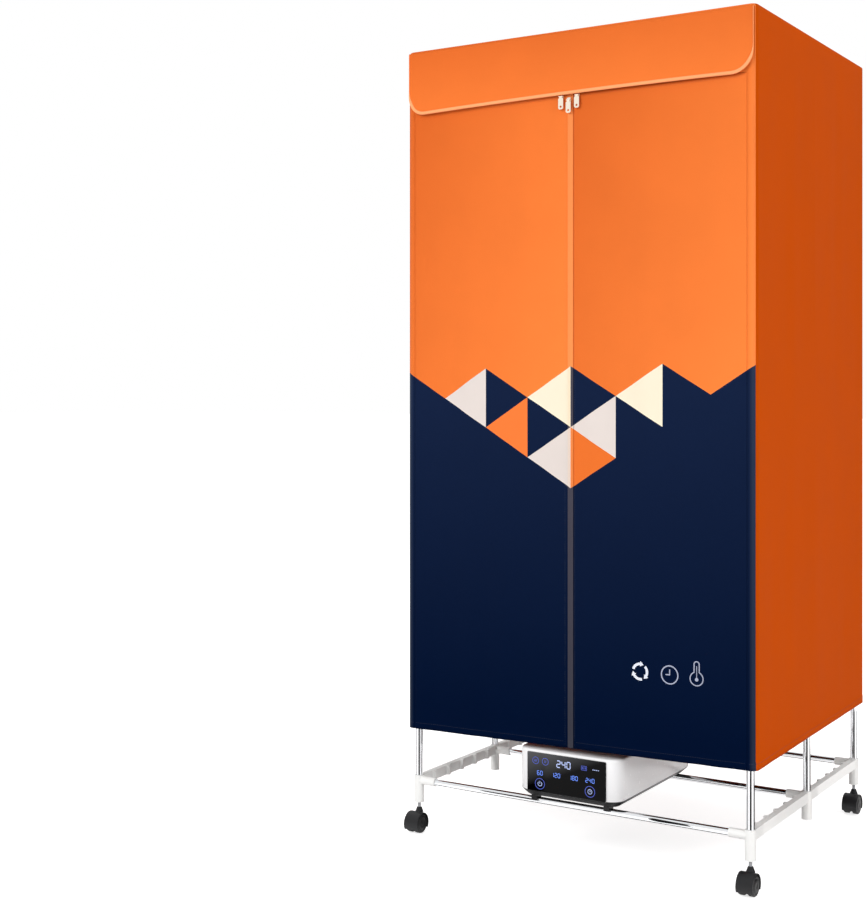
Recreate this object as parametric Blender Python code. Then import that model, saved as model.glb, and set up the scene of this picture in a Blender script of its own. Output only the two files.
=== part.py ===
# Portable clothes dryer: a fabric cabinet on a chrome tube frame with casters, and a warm-air
# heater that stands on its base rails. Metres, +Z up, the front looks towards -Y, the floor is Z 0.

import math

import bmesh
import bpy

# Whole dryer
overall_height = 1.50
cover_width = 0.70
cover_depth = 0.61
hem_height = 0.209
mid_rail_height = 0.80

# Clearances
seat_gap = 0.0003
swing_gap = 0.0006
cut_overrun = 0.002

# Shading, in degrees
smooth_angle = 35
lid_smooth_angle = 10

# Frame tubes
post_diameter = 0.014
rail_diameter = 0.012
tube_wall = 0.0008
tube_sides = 12

# Side brackets, one moulding for each level and side
sleeve_diameter = 0.019
post_bore_depth = 0.024
stem_bore_depth = 0.024
bore_web = 0.004
top_cap = 0.016
socket_diameter = 0.0165
socket_length = 0.028
socket_lip = 0.00175
sleeve_sides = 12
beam_width = 0.012
beam_skirt = 0.00075
beam_wall = 0.002
lug_radius = 0.006
lug_arc_steps = 3
lugs_per_bay = 5
pockets_per_bay = 2

# Casters
wheel_radius = 0.018
wheel_width = 0.0105
wheel_edge = 0.0025
web_width = 0.007
web_gap = 0.0005
wheel_gap = 0.0005
wheel_sides = 16
wheel_flat_turn = 0.5
hood_wall = 0.0018
hood_side_lip = 0.0005
hood_sides = 20
hood_skirt = 0.010
axle_diameter = 0.005
caster_trail = 0.011
neck_height = 0.007
neck_base_radius = 0.008
neck_top_radius = 0.0046
stem_diameter = 0.006
stem_showing = 0.0104

# Fabric cover
cover_wall = 0.0015
cover_slack = 0.005
corner_radius = 0.012
corner_steps = 3
hinge_strip = 0.004
top_edge_radius = 0.004
top_edge_steps = 2
side_bow = 0.004
door_bow = 0.003
bay_columns = 4
lower_rows = 4
upper_rows = 4

# Storm flap over the front zips
flap_drop = 0.115
flap_side_margin = 0.004
flap_wall = 0.0015
flap_corner_radius = 0.038
flap_corner_steps = 6
piping_width = 0.006
piping_height = 0.0015

# Zips
zip_half_width = 0.006
zip_thickness = 0.0012
slider_width = 0.009
slider_foot_width = 0.0066
slider_height = 0.010
slider_thickness = 0.0022
slider_spread = 0.016
centre_slider_drop = 0.008
pin_radius = 0.0006
pin_sides = 8
pin_below_top = 0.0045
barrel_wall = 0.0006
barrel_half_width = 0.0023
barrel_sides = 10
ear_wall = 0.001
ear_thickness = 0.0013
ear_arc_steps = 4
shoulder_gap = 0.0006
pull_width = 0.010
pull_length = 0.0235
pull_thickness = 0.0016
pull_corner = 0.0022
pull_hole_diameter = 0.004
pull_hole_margin = 0.0028

# Heater tray and body
heater_width = 0.206
heater_centre_x = -0.004
foot_centre_x = 0.073
foot_width = 0.011
foot_depth = 0.018
foot_height = 0.005
foot_grip = 0.004
foot_arc_steps = 6
foot_overhang = 0.0215
tray_height = 0.011
tray_chamfer = 0.012
tray_wall = 0.0025
body_height = 0.075
body_wall = 0.0025
body_corner_radius = 0.028
body_corner_steps = 4
body_edge_radius = 0.004
body_edge_steps = 2
collar_height = 0.0115
collar_ledge = 0.0025
collar_taper = 0.003
collar_corner_radius = 0.010
collar_rear_margin = 0.006
outlet_rim = 0.034
outlet_corner_radius = 0.006

# Heater hood and lid
hood_width = 0.160
hood_depth = 0.120
hood_height = 0.0545
hood_taper = 0.0045
hood_shell = 0.0025
hood_chamfer = 0.005
hood_flange = 0.003
hood_flange_height = 0.005
slot_bottom_margin = 0.011
slot_top_margin = 0.0035
slot_corner_post = 0.0105
slots_front = 15
slots_side = 11
slot_width_share = 0.6
lid_overhang = 0.007
lid_flare_height = 0.008
lid_edge_height = 0.008
lid_dome_height = 0.004
lid_rim = 0.010
lid_chamfer = 0.009
lid_crown_share = 0.45
cut_corner_steps = 1

# Parts inside and on the heater
panel_width = 0.158
panel_height = 0.070
panel_thickness = 0.002
panel_below_top = 0.0045
board_margin = 0.006
board_thickness = 0.0016
inlet_width = 0.026
inlet_height = 0.020
inlet_depth = 0.016
inlet_flange = 0.003
inlet_flange_thickness = 0.002
inlet_wall = 0.003
inlet_corner = 0.003
inlet_above_tray = 0.030
duct_diameter = 0.098
duct_wall = 0.002
duct_sides = 24
element_width = 0.112
element_depth = 0.094
element_height = 0.013
element_frame = 0.006
element_bays = 9
element_fin = 0.002
motor_diameter = 0.036
motor_height = 0.028
motor_edge = 0.003
motor_sides = 16
shaft_diameter = 0.005
hub_diameter = 0.030
hub_height = 0.016
hub_lift = 0.0015
shaft_end = 0.002
blade_count = 7
blade_tip_gap = 0.0025
blade_chord = 0.017
blade_thickness = 0.0016
blade_root_sink = 0.0015
blade_root_pitch = 50
blade_tip_pitch = 28
blade_steps = 3
intake_slots = 6
intake_slot_width = 0.006
intake_slot_pitch = 0.012
intake_slot_length = 0.064

# Places worked out from the sizes above
post_radius = post_diameter / 2
rail_radius = rail_diameter / 2
sleeve_radius = sleeve_diameter / 2
socket_radius = socket_diameter / 2
post_inset = sleeve_radius + cover_slack + cover_wall
post_x = cover_width / 2 - post_inset
post_y = cover_depth / 2 - post_inset
post_rows = {"front": -post_y, "middle": 0, "rear": post_y}
sides = {"left": -1, "right": 1}
beam_height = socket_diameter + 2 * beam_skirt
wheel_corner = wheel_radius / math.cos(math.pi / wheel_sides)
pocket_radius = (wheel_corner + wheel_gap) / math.cos(math.pi / hood_sides)
caster_hood_radius = pocket_radius + hood_wall
caster_height = wheel_radius + caster_hood_radius + neck_height + stem_showing
rail_below_sleeve_top = socket_radius + socket_lip
base_sleeve_top = caster_height + stem_bore_depth + bore_web + post_bore_depth
mid_sleeve_half = post_bore_depth + bore_web
top_sleeve_top = overall_height - cover_wall - seat_gap
top_sleeve_bottom = top_sleeve_top - top_cap - post_bore_depth
rail_levels = {
    "base": base_sleeve_top - rail_below_sleeve_top,
    "mid": mid_rail_height,
    "top": top_sleeve_top - rail_below_sleeve_top,
}
front_reach = post_y + caster_trail + caster_hood_radius
centre_shift = (front_reach - cover_depth / 2) / 2
front_face = -cover_depth / 2
flat_half_width = cover_width / 2 - corner_radius
hinge_x = flat_half_width - hinge_strip
door_top = overall_height - flap_drop
flap_top = overall_height - top_edge_radius
barrel_radius = pin_radius + seat_gap + barrel_wall
ear_radius = pin_radius + ear_wall

# Heater places, from the two rails that it stands on
heater_depth = post_y + 2 * foot_overhang
heater_y = -post_y / 2
heater_front = -post_y - foot_overhang
heater_rear = foot_overhang
tray_bottom = rail_levels["base"] + rail_radius + foot_height
tray_top = tray_bottom + tray_height
body_bottom = tray_top + seat_gap
body_top = body_bottom + body_height
collar_top = body_top + collar_height
collar_width = hood_width + 2 * (hood_flange + collar_ledge)
collar_depth = hood_depth + 2 * (hood_flange + collar_ledge)
hood_y = heater_rear - collar_rear_margin - collar_taper - collar_depth / 2
hood_centre = (heater_centre_x, hood_y)
hood_bottom = collar_top + seat_gap
hood_wall_bottom = hood_bottom + hood_flange_height
hood_top = hood_wall_bottom + hood_height
lid_bottom = hood_top + seat_gap
tray_floor = tray_bottom + tray_wall
element_top = collar_top - body_wall - seat_gap
element_bottom = element_top - element_height
motor_top = tray_floor + seat_gap + motor_height

finishes = {}


def clear_scene():
    for thing in list(bpy.data.objects):
        bpy.data.objects.remove(thing, do_unlink=True)


def finish(name, colour, roughness, metallic=0.0):
    """A plain painted, moulded or plated material, made once for each name."""
    if name not in finishes:
        material = bpy.data.materials.new(name)
        material.use_nodes = True
        shader = material.node_tree.nodes["Principled BSDF"]
        shader.inputs["Base Color"].default_value = (*colour, 1)
        shader.inputs["Roughness"].default_value = roughness
        shader.inputs["Metallic"].default_value = metallic
        material.diffuse_color = (*colour, 1)
        finishes[name] = material
    return finishes[name]


def chrome():
    return finish("chrome", (0.80, 0.81, 0.83), 0.12, 1.0)


def white_plastic():
    return finish("white plastic", (0.86, 0.86, 0.85), 0.4)


def caster_black():
    return finish("caster black", (0.035, 0.035, 0.038), 0.5)


def heater_white():
    return finish("heater white", (0.84, 0.84, 0.85), 0.3)


def heater_black():
    return finish("heater black", (0.02, 0.02, 0.022), 0.4)


def orange_fabric():
    return finish("orange fabric", (0.95, 0.21, 0.045), 0.75)


def nickel():
    return finish("nickel", (0.62, 0.61, 0.58), 0.25, 1.0)


def grey_metal():
    return finish("grey metal", (0.45, 0.46, 0.48), 0.35, 1.0)


def circuit_green():
    return finish("circuit green", (0.02, 0.13, 0.06), 0.5)


def along(axis, first, second, along_it):
    """A point whose first two values lie across the axis and whose third lies along it."""
    if axis == "X":
        return (along_it, first, second)
    if axis == "Y":
        return (first, along_it, second)
    return (first, second, along_it)


def circle(radius, sides, centre=(0, 0), turn=0.0):
    """Points round a circle; turn is a share of one step."""
    step = 2 * math.pi / sides
    return [
        (
            centre[0] + radius * math.cos((i + turn) * step),
            centre[1] + radius * math.sin((i + turn) * step),
        )
        for i in range(sides)
    ]


def rounded_rectangle(width, depth, radius, steps, centre=(0, 0)):
    """Points round a rectangle whose corners are arcs of the given steps."""
    points = []
    for corner in range(4):
        across = (1, -1, -1, 1)[corner]
        up = (1, 1, -1, -1)[corner]
        x = centre[0] + across * (width / 2 - radius)
        y = centre[1] + up * (depth / 2 - radius)
        for i in range(steps + 1):
            angle = (corner + i / steps) * math.pi / 2
            points.append((x + radius * math.cos(angle), y + radius * math.sin(angle)))
    return points


def ring(outline, height, axis="Z"):
    return [along(axis, first, second, height) for first, second in outline]


def solid_from_rings(rings, closed=False):
    """Skin a row of rings; a closed row joins its last ring to its first, an open one is capped."""
    form = bmesh.new()
    loops = [[form.verts.new(point) for point in points] for points in rings]
    pairs = list(zip(loops, loops[1:]))
    if closed:
        pairs.append((loops[-1], loops[0]))
    else:
        form.faces.new(loops[0])
        form.faces.new(loops[-1])
    for lower, upper in pairs:
        for i in range(len(lower)):
            j = (i + 1) % len(lower)
            form.faces.new((lower[i], lower[j], upper[j], upper[i]))
    bmesh.ops.recalc_face_normals(form, faces=form.faces)
    return form


def prism(outline, start, end, axis="Z"):
    return solid_from_rings([ring(outline, start, axis), ring(outline, end, axis)])


def box(low, high):
    """A block between two opposite corners."""
    outline = [(low[0], low[1]), (high[0], low[1]), (high[0], high[1]), (low[0], high[1])]
    return prism(outline, low[2], high[2])


def pipe(outer_radius, inner_radius, sides, start, end, axis="Z", centre=(0, 0)):
    """A straight tube with an open bore."""
    outer = circle(outer_radius, sides, centre)
    inner = circle(inner_radius, sides, centre)
    rings = [ring(outer, start, axis), ring(outer, end, axis), ring(inner, end, axis)]
    rings.append(ring(inner, start, axis))
    return solid_from_rings(rings, closed=True)


def smooth_mesh(name, form, angle):
    """Make a mesh of a bmesh, shaded smooth up to the angle given in degrees."""
    mesh = bpy.data.meshes.new(name)
    form.to_mesh(mesh)
    form.free()
    mesh.shade_smooth()
    mesh.set_sharp_from_angle(angle=math.radians(angle))
    return mesh


def add(name, form, material, angle=smooth_angle):
    mesh = smooth_mesh(name, form, angle)
    mesh.materials.append(material)
    thing = bpy.data.objects.new(name, mesh)
    bpy.context.scene.collection.objects.link(thing)
    return thing


def combine(target, forms, operation):
    """Join the forms to the target, or cut them from it, in one Boolean."""
    group = bpy.data.collections.new(target.name + " " + operation.lower())
    bpy.context.scene.collection.children.link(group)
    for form in forms:
        mesh = smooth_mesh(group.name, form, smooth_angle)
        tool = bpy.data.objects.new(group.name, mesh)
        tool.hide_render = True
        tool.display_type = "WIRE"
        tool.parent = target
        group.objects.link(tool)
    modifier = target.modifiers.new(operation.lower(), "BOOLEAN")
    modifier.operation = operation
    modifier.operand_type = "COLLECTION"
    modifier.collection = group
    modifier.solver = "EXACT"


def join(target, forms):
    combine(target, forms, "UNION")


def cut(target, forms):
    combine(target, forms, "DIFFERENCE")


def pivot_at(thing, point):
    """Move the origin to a joint's axis and leave the shape where it is."""
    for tool in thing.children:
        tool.location = [-value for value in point]
    for vertex in thing.data.vertices:
        vertex.co = [vertex.co[i] - point[i] for i in range(3)]
    thing.location = point


def hang_on(child, parent, root):
    """Parent a piece to the one that carries it, with no change of place."""
    carrier = parent
    place = list(child.location)
    while carrier is not root:
        place = [place[i] - carrier.location[i] for i in range(3)]
        carrier = carrier.parent
    child.parent = parent
    child.location = place


def beam_outline(side):
    """Plan of a bracket's beam: a plain outer edge, and half-round hanger lugs along both bays."""
    outer = side * (post_x + beam_width / 2)
    inner = side * (post_x - beam_width / 2)
    outline = [(outer, -post_y), (outer, post_y), (inner, post_y)]
    for bay_end in (post_y, 0):
        for i in range(lugs_per_bay):
            centre = bay_end - sleeve_diameter - (i + 0.5) * lug_pitch()
            for step in range(lug_arc_steps + 1):
                angle = math.pi * step / lug_arc_steps
                reach = inner - side * lug_radius * math.sin(angle)
                outline.append((reach, centre + lug_radius * math.cos(angle)))
    outline.append((inner, -post_y))
    return outline


def lug_pitch():
    return (post_y - 2 * sleeve_diameter) / lugs_per_bay


def bracket(level, side_name, root):
    """A beam with three post sleeves and three rail sockets, bored for the tubes."""
    side = sides[side_name]
    rail_z = rail_levels[level]
    top, bottom, bores = sleeve_plan(level)
    middle_x = side * post_x
    beam = prism(beam_outline(side), rail_z - beam_height / 2, rail_z + beam_height / 2)
    thing = add(f"{level}_bracket_{side_name}", beam, white_plastic())
    forms = []
    holes = []
    for place in post_rows.values():
        forms.append(prism(circle(sleeve_radius, sleeve_sides, (middle_x, place)), bottom, top))
        socket_end = side * (post_x - sleeve_radius - socket_length)
        socket = circle(socket_radius, tube_sides, (place, rail_z))
        forms.append(prism(socket, middle_x, socket_end, "X"))
        rail_bore = circle(rail_radius + seat_gap, tube_sides, (place, rail_z))
        bore_end = socket_end - side * cut_overrun
        holes.append(prism(rail_bore, side * (post_x - sleeve_radius), bore_end, "X"))
        for radius, start, end, corners_only in bores:
            if place or not corners_only:
                bore = circle(radius + seat_gap, tube_sides, (middle_x, place))
                holes.append(prism(bore, start, end))
    join(thing, forms)
    cut(thing, holes + beam_pockets(middle_x, rail_z))
    thing.parent = root


def sleeve_plan(level):
    """Top and bottom of a level's sleeves, and their bores as radius, start, end, corners only."""
    if level == "base":
        post = (post_radius, base_sleeve_top - post_bore_depth, base_sleeve_top + cut_overrun, False)
        stem = (stem_diameter / 2, caster_height - cut_overrun, caster_height + stem_bore_depth, True)
        return base_sleeve_top, caster_height, [post, stem]
    if level == "mid":
        top = mid_rail_height + mid_sleeve_half
        bottom = mid_rail_height - mid_sleeve_half
        upper = (post_radius, top - post_bore_depth, top + cut_overrun, False)
        lower = (post_radius, bottom - cut_overrun, bottom + post_bore_depth, False)
        return top, bottom, [upper, lower]
    post = (post_radius, top_sleeve_bottom - cut_overrun, top_sleeve_bottom + post_bore_depth, False)
    return top_sleeve_top, top_sleeve_bottom, [post]


def beam_pockets(middle_x, rail_z):
    """Open pockets under the beam, with ribs between them, as moulded parts have."""
    half = beam_width / 2 - beam_wall
    roof = rail_z + beam_height / 2 - beam_wall
    floor = rail_z - beam_height / 2 - cut_overrun
    bay = post_y - 2 * sleeve_diameter
    length = (bay + beam_wall) / pockets_per_bay - beam_wall
    pockets = []
    for bay_end in (post_y, 0):
        for i in range(pockets_per_bay):
            far = bay_end - sleeve_diameter - i * (length + beam_wall)
            low = (middle_x - half, far - length, floor)
            pockets.append(box(low, (middle_x + half, far, roof)))
    return pockets


def posts(root):
    """Chrome posts in two lengths, lower and upper, at the six sleeves."""
    spans = {
        "lower": (
            base_sleeve_top - post_bore_depth + seat_gap,
            mid_rail_height - bore_web - seat_gap,
        ),
        "upper": (
            mid_rail_height + bore_web + seat_gap,
            top_sleeve_bottom + post_bore_depth - seat_gap,
        ),
    }
    for stage, (start, end) in spans.items():
        for row, y in post_rows.items():
            for side_name, side in sides.items():
                centre = (side * post_x, y)
                form = pipe(post_radius, post_radius - tube_wall, tube_sides, start, end, "Z", centre)
                thing = add(f"{stage}_post_{row}_{side_name}", form, chrome())
                thing.parent = root


def rails(root):
    """Chrome rails from side to side, three at each level."""
    half = post_x - sleeve_radius - seat_gap
    for level, height in rail_levels.items():
        for row, y in post_rows.items():
            inner = rail_radius - tube_wall
            form = pipe(rail_radius, inner, tube_sides, -half, half, "X", (y, height))
            thing = add(f"{level}_rail_{row}", form, chrome())
            thing.parent = root


def caster_housing(name, x, y, root):
    """A hood over twin wheels with a web between them, and its neck and stem on the swivel axis."""
    axle_y = y - caster_trail
    outer = circle(caster_hood_radius, hood_sides, (axle_y, wheel_radius))
    half = web_width / 2 + web_gap + wheel_width + hood_side_lip
    thing = add(name, prism(outer, x - half, x + half, "X"), caster_black())
    neck_z = wheel_radius + caster_hood_radius
    stem_top = caster_height + stem_bore_depth - seat_gap
    rings = [
        ring(circle(neck_base_radius, tube_sides, (x, y)), wheel_radius + wheel_corner),
        ring(circle(neck_base_radius, tube_sides, (x, y)), neck_z - hood_wall),
        ring(circle(neck_top_radius, tube_sides, (x, y)), neck_z + neck_height),
        ring(circle(stem_diameter / 2, tube_sides, (x, y)), neck_z + neck_height),
        ring(circle(stem_diameter / 2, tube_sides, (x, y)), stem_top),
    ]
    join(thing, [solid_from_rings(rings)])
    pocket = circle(pocket_radius, hood_sides, (axle_y, wheel_radius))
    axle = circle(axle_diameter / 2 + seat_gap, tube_sides, (axle_y, wheel_radius))
    reach = caster_hood_radius + cut_overrun
    outside = half + cut_overrun
    skirt = wheel_radius - hood_skirt
    holes = [
        prism(pocket, x - outside, x - web_width / 2, "X"),
        prism(pocket, x + web_width / 2, x + outside, "X"),
        prism(axle, x - half, x + half, "X"),
        box((x - outside, axle_y - reach, -reach), (x + outside, axle_y + reach, skirt)),
    ]
    cut(thing, holes)
    pivot_at(thing, (x, y, wheel_radius))
    thing.parent = root
    return thing


def caster_wheels(name, x, y, housing, root):
    """Both wheels on their axle, turned in one, with a flat of the rim down on the floor."""
    near = web_width / 2 + web_gap
    far = near + wheel_width
    axle_radius = axle_diameter / 2
    half_profile = [
        (near, axle_radius),
        (near, wheel_corner),
        (far - wheel_edge, wheel_corner),
        (far, wheel_corner - wheel_edge),
    ]
    profile = [(-place, radius) for place, radius in reversed(half_profile)] + half_profile
    centre = (y - caster_trail, wheel_radius)
    rings = [ring(circle(r, wheel_sides, centre, wheel_flat_turn), x + place, "X") for place, r in profile]
    thing = add(name, solid_from_rings(rings), caster_black())
    pivot_at(thing, (x, y - caster_trail, wheel_radius))
    hang_on(thing, housing, root)


def casters(root):
    for row, y in post_rows.items():
        for side_name, side in sides.items():
            if y:
                name = f"caster_{row}_{side_name}"
                housing = caster_housing(name + "_housing", side * post_x, y, root)
                caster_wheels(name + "_wheels", side * post_x, y, housing, root)


def cover_outline(inset, bow):
    """Plan of the cover from the middle of its front, right way round; bow draws the cloth in
    between the posts at the sides and the corners at the back."""
    half_x = cover_width / 2 - inset
    half_y = cover_depth / 2 - inset
    flat_y = cover_depth / 2 - corner_radius
    radius = corner_radius - inset
    points = [(0, -half_y), (hinge_x, -half_y)]
    for index, (across, back) in enumerate([(1, -1), (1, 1), (-1, 1), (-1, -1)]):
        for step in range(corner_steps + 1):
            angle = (index - 1 + step / corner_steps) * math.pi / 2
            x = across * flat_half_width + radius * math.cos(angle)
            points.append((x, back * flat_y + radius * math.sin(angle)))
        if index in (0, 2):
            for i in range(1, 2 * bay_columns):
                share = i / bay_columns - 1
                drawn_in = bow * abs(math.sin(math.pi * share))
                points.append((across * (half_x - drawn_in), -back * share * flat_y))
        if index == 1:
            for i in range(1, bay_columns):
                share = 1 - 2 * i / bay_columns
                drawn_in = bow * (1 - share * share)
                points.append((share * flat_half_width, half_y - drawn_in))
    points.append((-hinge_x, -half_y))
    return points


def cloth_rows():
    """Heights of the cover's rows of cloth, each with the share of the bow that it has there."""
    rows = []
    for i in range(lower_rows):
        share = i / lower_rows
        height = hem_height + share * (mid_rail_height - hem_height)
        rows.append((height, math.sin(math.pi * share)))
    for i in range(upper_rows + 1):
        height = mid_rail_height + i / upper_rows * (door_top - mid_rail_height)
        share = (height - mid_rail_height) / (flap_top - mid_rail_height)
        rows.append((height, math.sin(math.pi * share)))
    return rows


def thicken(thing, wall):
    """Give a sheet its wall, inward from the face that shows."""
    modifier = thing.modifiers.new("wall", "SOLIDIFY")
    modifier.thickness = wall
    modifier.offset = -1
    modifier.use_even_offset = True


def cover_shell(root):
    """One sheet round the back, sides, top and front header, open below and where the doors are."""
    rings = [ring(cover_outline(0, share * side_bow), height) for height, share in cloth_rows()]
    opening_rows = len(rings) - 1
    rings.append(ring(cover_outline(0, 0), flap_top))
    for step in range(1, top_edge_steps + 1):
        angle = math.pi / 2 * step / top_edge_steps
        inset = top_edge_radius * (1 - math.cos(angle))
        rings.append(ring(cover_outline(inset, 0), flap_top + top_edge_radius * math.sin(angle)))
    form = bmesh.new()
    loops = [[form.verts.new(point) for point in points] for points in rings]
    last = len(loops[0]) - 1
    for row, (lower, upper) in enumerate(zip(loops, loops[1:])):
        for i in range(last + 1):
            j = (i + 1) % (last + 1)
            if row >= opening_rows or 1 <= i <= last - 1:
                form.faces.new((lower[i], lower[j], upper[j], upper[i]))
    form.faces.new(loops[-1])
    loose = [vertex for vertex in form.verts if not vertex.link_faces]
    bmesh.ops.delete(form, geom=loose, context="VERTS")
    thing = add("cover_shell", form, orange_fabric())
    thicken(thing, cover_wall)
    thing.parent = root
    return thing


def door(name, hinge_side, free_x, shell, root):
    """A front panel of cloth, drawn in a little at its middle, that turns about its outer edge."""
    start = hinge_side * (hinge_x - swing_gap)
    rows = [height for height, share in cloth_rows()]
    rows[-1] = door_top - swing_gap
    form = bmesh.new()
    grid = []
    for height in rows:
        up = (height - rows[0]) / (rows[-1] - rows[0])
        line = []
        for i in range(bay_columns + 1):
            over = i / bay_columns
            drawn_in = door_bow * math.sin(math.pi * over) * math.sin(math.pi * up)
            x = start + over * (free_x - start)
            line.append(form.verts.new((x, front_face + drawn_in, height)))
        grid.append(line)
    for lower, upper in zip(grid, grid[1:]):
        for i in range(bay_columns):
            corners = (lower[i], lower[i + 1], upper[i + 1], upper[i])
            form.faces.new(corners if hinge_side < 0 else corners[::-1])
    thing = add(name, form, orange_fabric())
    thicken(thing, cover_wall)
    pivot_at(thing, (hinge_side * hinge_x, front_face, hem_height))
    hang_on(thing, shell, root)
    return thing


def flap_outline(inset):
    """The flap's edge seen from the front, with its two lower corners rounded."""
    half = cover_width / 2 - flap_side_margin - inset
    radius = flap_corner_radius - inset
    bottom = door_top + inset
    points = [(-half, flap_top)]
    for start, x in ((math.pi, radius - half), (1.5 * math.pi, half - radius)):
        for step in range(flap_corner_steps + 1):
            angle = start + math.pi / 2 * step / flap_corner_steps
            points.append((x + radius * math.cos(angle), bottom + radius + radius * math.sin(angle)))
    points.append((half, flap_top))
    return points


def storm_flap(shell, root):
    """A cloth flap with a raised piping round its free edge, hinged along its top."""
    back = front_face - seat_gap
    edge = flap_outline(0) + flap_outline(piping_width)[::-1]
    piping = prism(edge, back, back - flap_wall - piping_height, "Y")
    thing = add("storm_flap", piping, orange_fabric())
    join(thing, [prism(flap_outline(piping_width / 2), back, back - flap_wall, "Y")])
    pivot_at(thing, (0, back, flap_top))
    hang_on(thing, shell, root)


def slider(name, x, top, back, carrier, root):
    """A zip slider: a tapered body with two ears and the pin that holds its pull."""
    front = back - slider_thickness
    half = slider_width / 2
    foot = slider_foot_width / 2
    bottom = top - slider_height
    shoulder = top - pin_below_top
    outline = [
        (x - foot, top),
        (x + foot, top),
        (x + half, shoulder),
        (x + foot, bottom),
        (x - foot, bottom),
        (x - half, shoulder),
    ]
    thing = add(name, prism(outline, back, front, "Y"), nickel())
    pin_y, pin_z = pin_place(top, back)
    ear = [((back + front) / 2, pin_z - ear_radius)]
    for step in range(ear_arc_steps + 1):
        angle = -math.pi / 2 - math.pi * step / ear_arc_steps
        ear.append((pin_y + ear_radius * math.cos(angle), pin_z + ear_radius * math.sin(angle)))
    ear.append(((back + front) / 2, pin_z + ear_radius))
    near = barrel_half_width + seat_gap
    far = near + ear_thickness
    reach = near + ear_thickness / 2
    pin = circle(pin_radius, pin_sides, (pin_y, pin_z))
    forms = [prism(ear, x + near, x + far, "X"), prism(ear, x - far, x - near, "X")]
    join(thing, forms + [prism(pin, x - reach, x + reach, "X")])
    pivot_at(thing, (x, back, top))
    hang_on(thing, carrier, root)
    return thing


def pin_place(top, back):
    """Y and Z of a slider's pin, in front of its body by the pull's barrel."""
    return back - slider_thickness - seat_gap - barrel_radius, top - pin_below_top


def pull(name, x, top, back, carrier, root):
    """A pull tab with a barrel round the slider's pin, a neck between its ears and a punched end."""
    pin_y, pin_z = pin_place(top, back)
    half = pull_width / 2
    neck = barrel_half_width
    neck_top = pin_z - pin_radius - seat_gap - barrel_wall / 2
    shoulder = pin_z - ear_radius - shoulder_gap
    end = pin_z - pull_length
    outline = [
        (x - neck, neck_top),
        (x - neck, shoulder),
        (x - half, shoulder - pull_corner),
        (x - half, end + pull_corner),
        (x - half + pull_corner, end),
        (x + half - pull_corner, end),
        (x + half, end + pull_corner),
        (x + half, shoulder - pull_corner),
        (x + neck, shoulder),
        (x + neck, neck_top),
    ]
    near = pin_y - pull_thickness / 2
    thing = add(name, prism(outline, near, near + pull_thickness, "Y"), nickel())
    barrel = circle(barrel_radius, barrel_sides, (pin_y, pin_z))
    join(thing, [prism(barrel, x - neck, x + neck, "X")])
    bore = circle(pin_radius + seat_gap, barrel_sides, (pin_y, pin_z))
    reach = neck + cut_overrun
    hole_radius = pull_hole_diameter / 2
    hole = circle(hole_radius, tube_sides, (x, end + pull_hole_margin + hole_radius))
    far = near + pull_thickness + cut_overrun
    cut(thing, [prism(bore, x - reach, x + reach, "X"), prism(hole, near - cut_overrun, far, "Y")])
    pivot_at(thing, (x, pin_y, pin_z))
    hang_on(thing, carrier, root)


def front_of_cabinet(root):
    """Cover, doors and flap, with the three zips' sliders and pulls."""
    shell = cover_shell(root)
    left = door("door_left", -1, zip_half_width, shell, root)
    right = door("door_right", 1, zip_half_width + swing_gap, shell, root)
    storm_flap(shell, root)
    tape_back = front_face - seat_gap
    tape_front = tape_back - zip_thickness
    top = door_top - swing_gap
    low = (-zip_half_width, tape_front, hem_height)
    tape = add("centre_zip", box(low, (zip_half_width, tape_back, top)), orange_fabric())
    pivot_at(tape, (0, tape_back, hem_height))
    hang_on(tape, left, root)
    places = {
        "left": (-slider_spread, top, tape_back, left),
        "centre": (0, top - centre_slider_drop, tape_front - seat_gap, left),
        "right": (slider_spread, top, tape_back, right),
    }
    for name, (x, height, back, carrier) in places.items():
        body = slider(f"zip_slider_{name}", x, height, back, carrier, root)
        pull(f"zip_pull_{name}", x, height, back, body, root)


def foot(centre_x, rail_y):
    """A heater foot with a notch that sits astride a rail."""
    rail_z = rail_levels["base"]
    notch = rail_radius + seat_gap
    bottom = rail_z + rail_radius - foot_grip
    low_angle = math.asin((bottom - rail_z) / notch)
    top = (tray_bottom + tray_floor) / 2
    outline = [(rail_y - foot_depth / 2, top), (rail_y - foot_depth / 2, bottom)]
    for step in range(foot_arc_steps + 1):
        angle = math.pi - low_angle - (math.pi - 2 * low_angle) * step / foot_arc_steps
        outline.append((rail_y + notch * math.cos(angle), rail_z + notch * math.sin(angle)))
    outline.append((rail_y + foot_depth / 2, bottom))
    outline.append((rail_y + foot_depth / 2, top))
    return prism(outline, centre_x - foot_width / 2, centre_x + foot_width / 2, "X")


def heater_outline(inset):
    width = heater_width - 2 * inset
    depth = heater_depth - 2 * inset
    radius = body_corner_radius - inset
    return rounded_rectangle(width, depth, radius, body_corner_steps, (heater_centre_x, heater_y))


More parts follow.
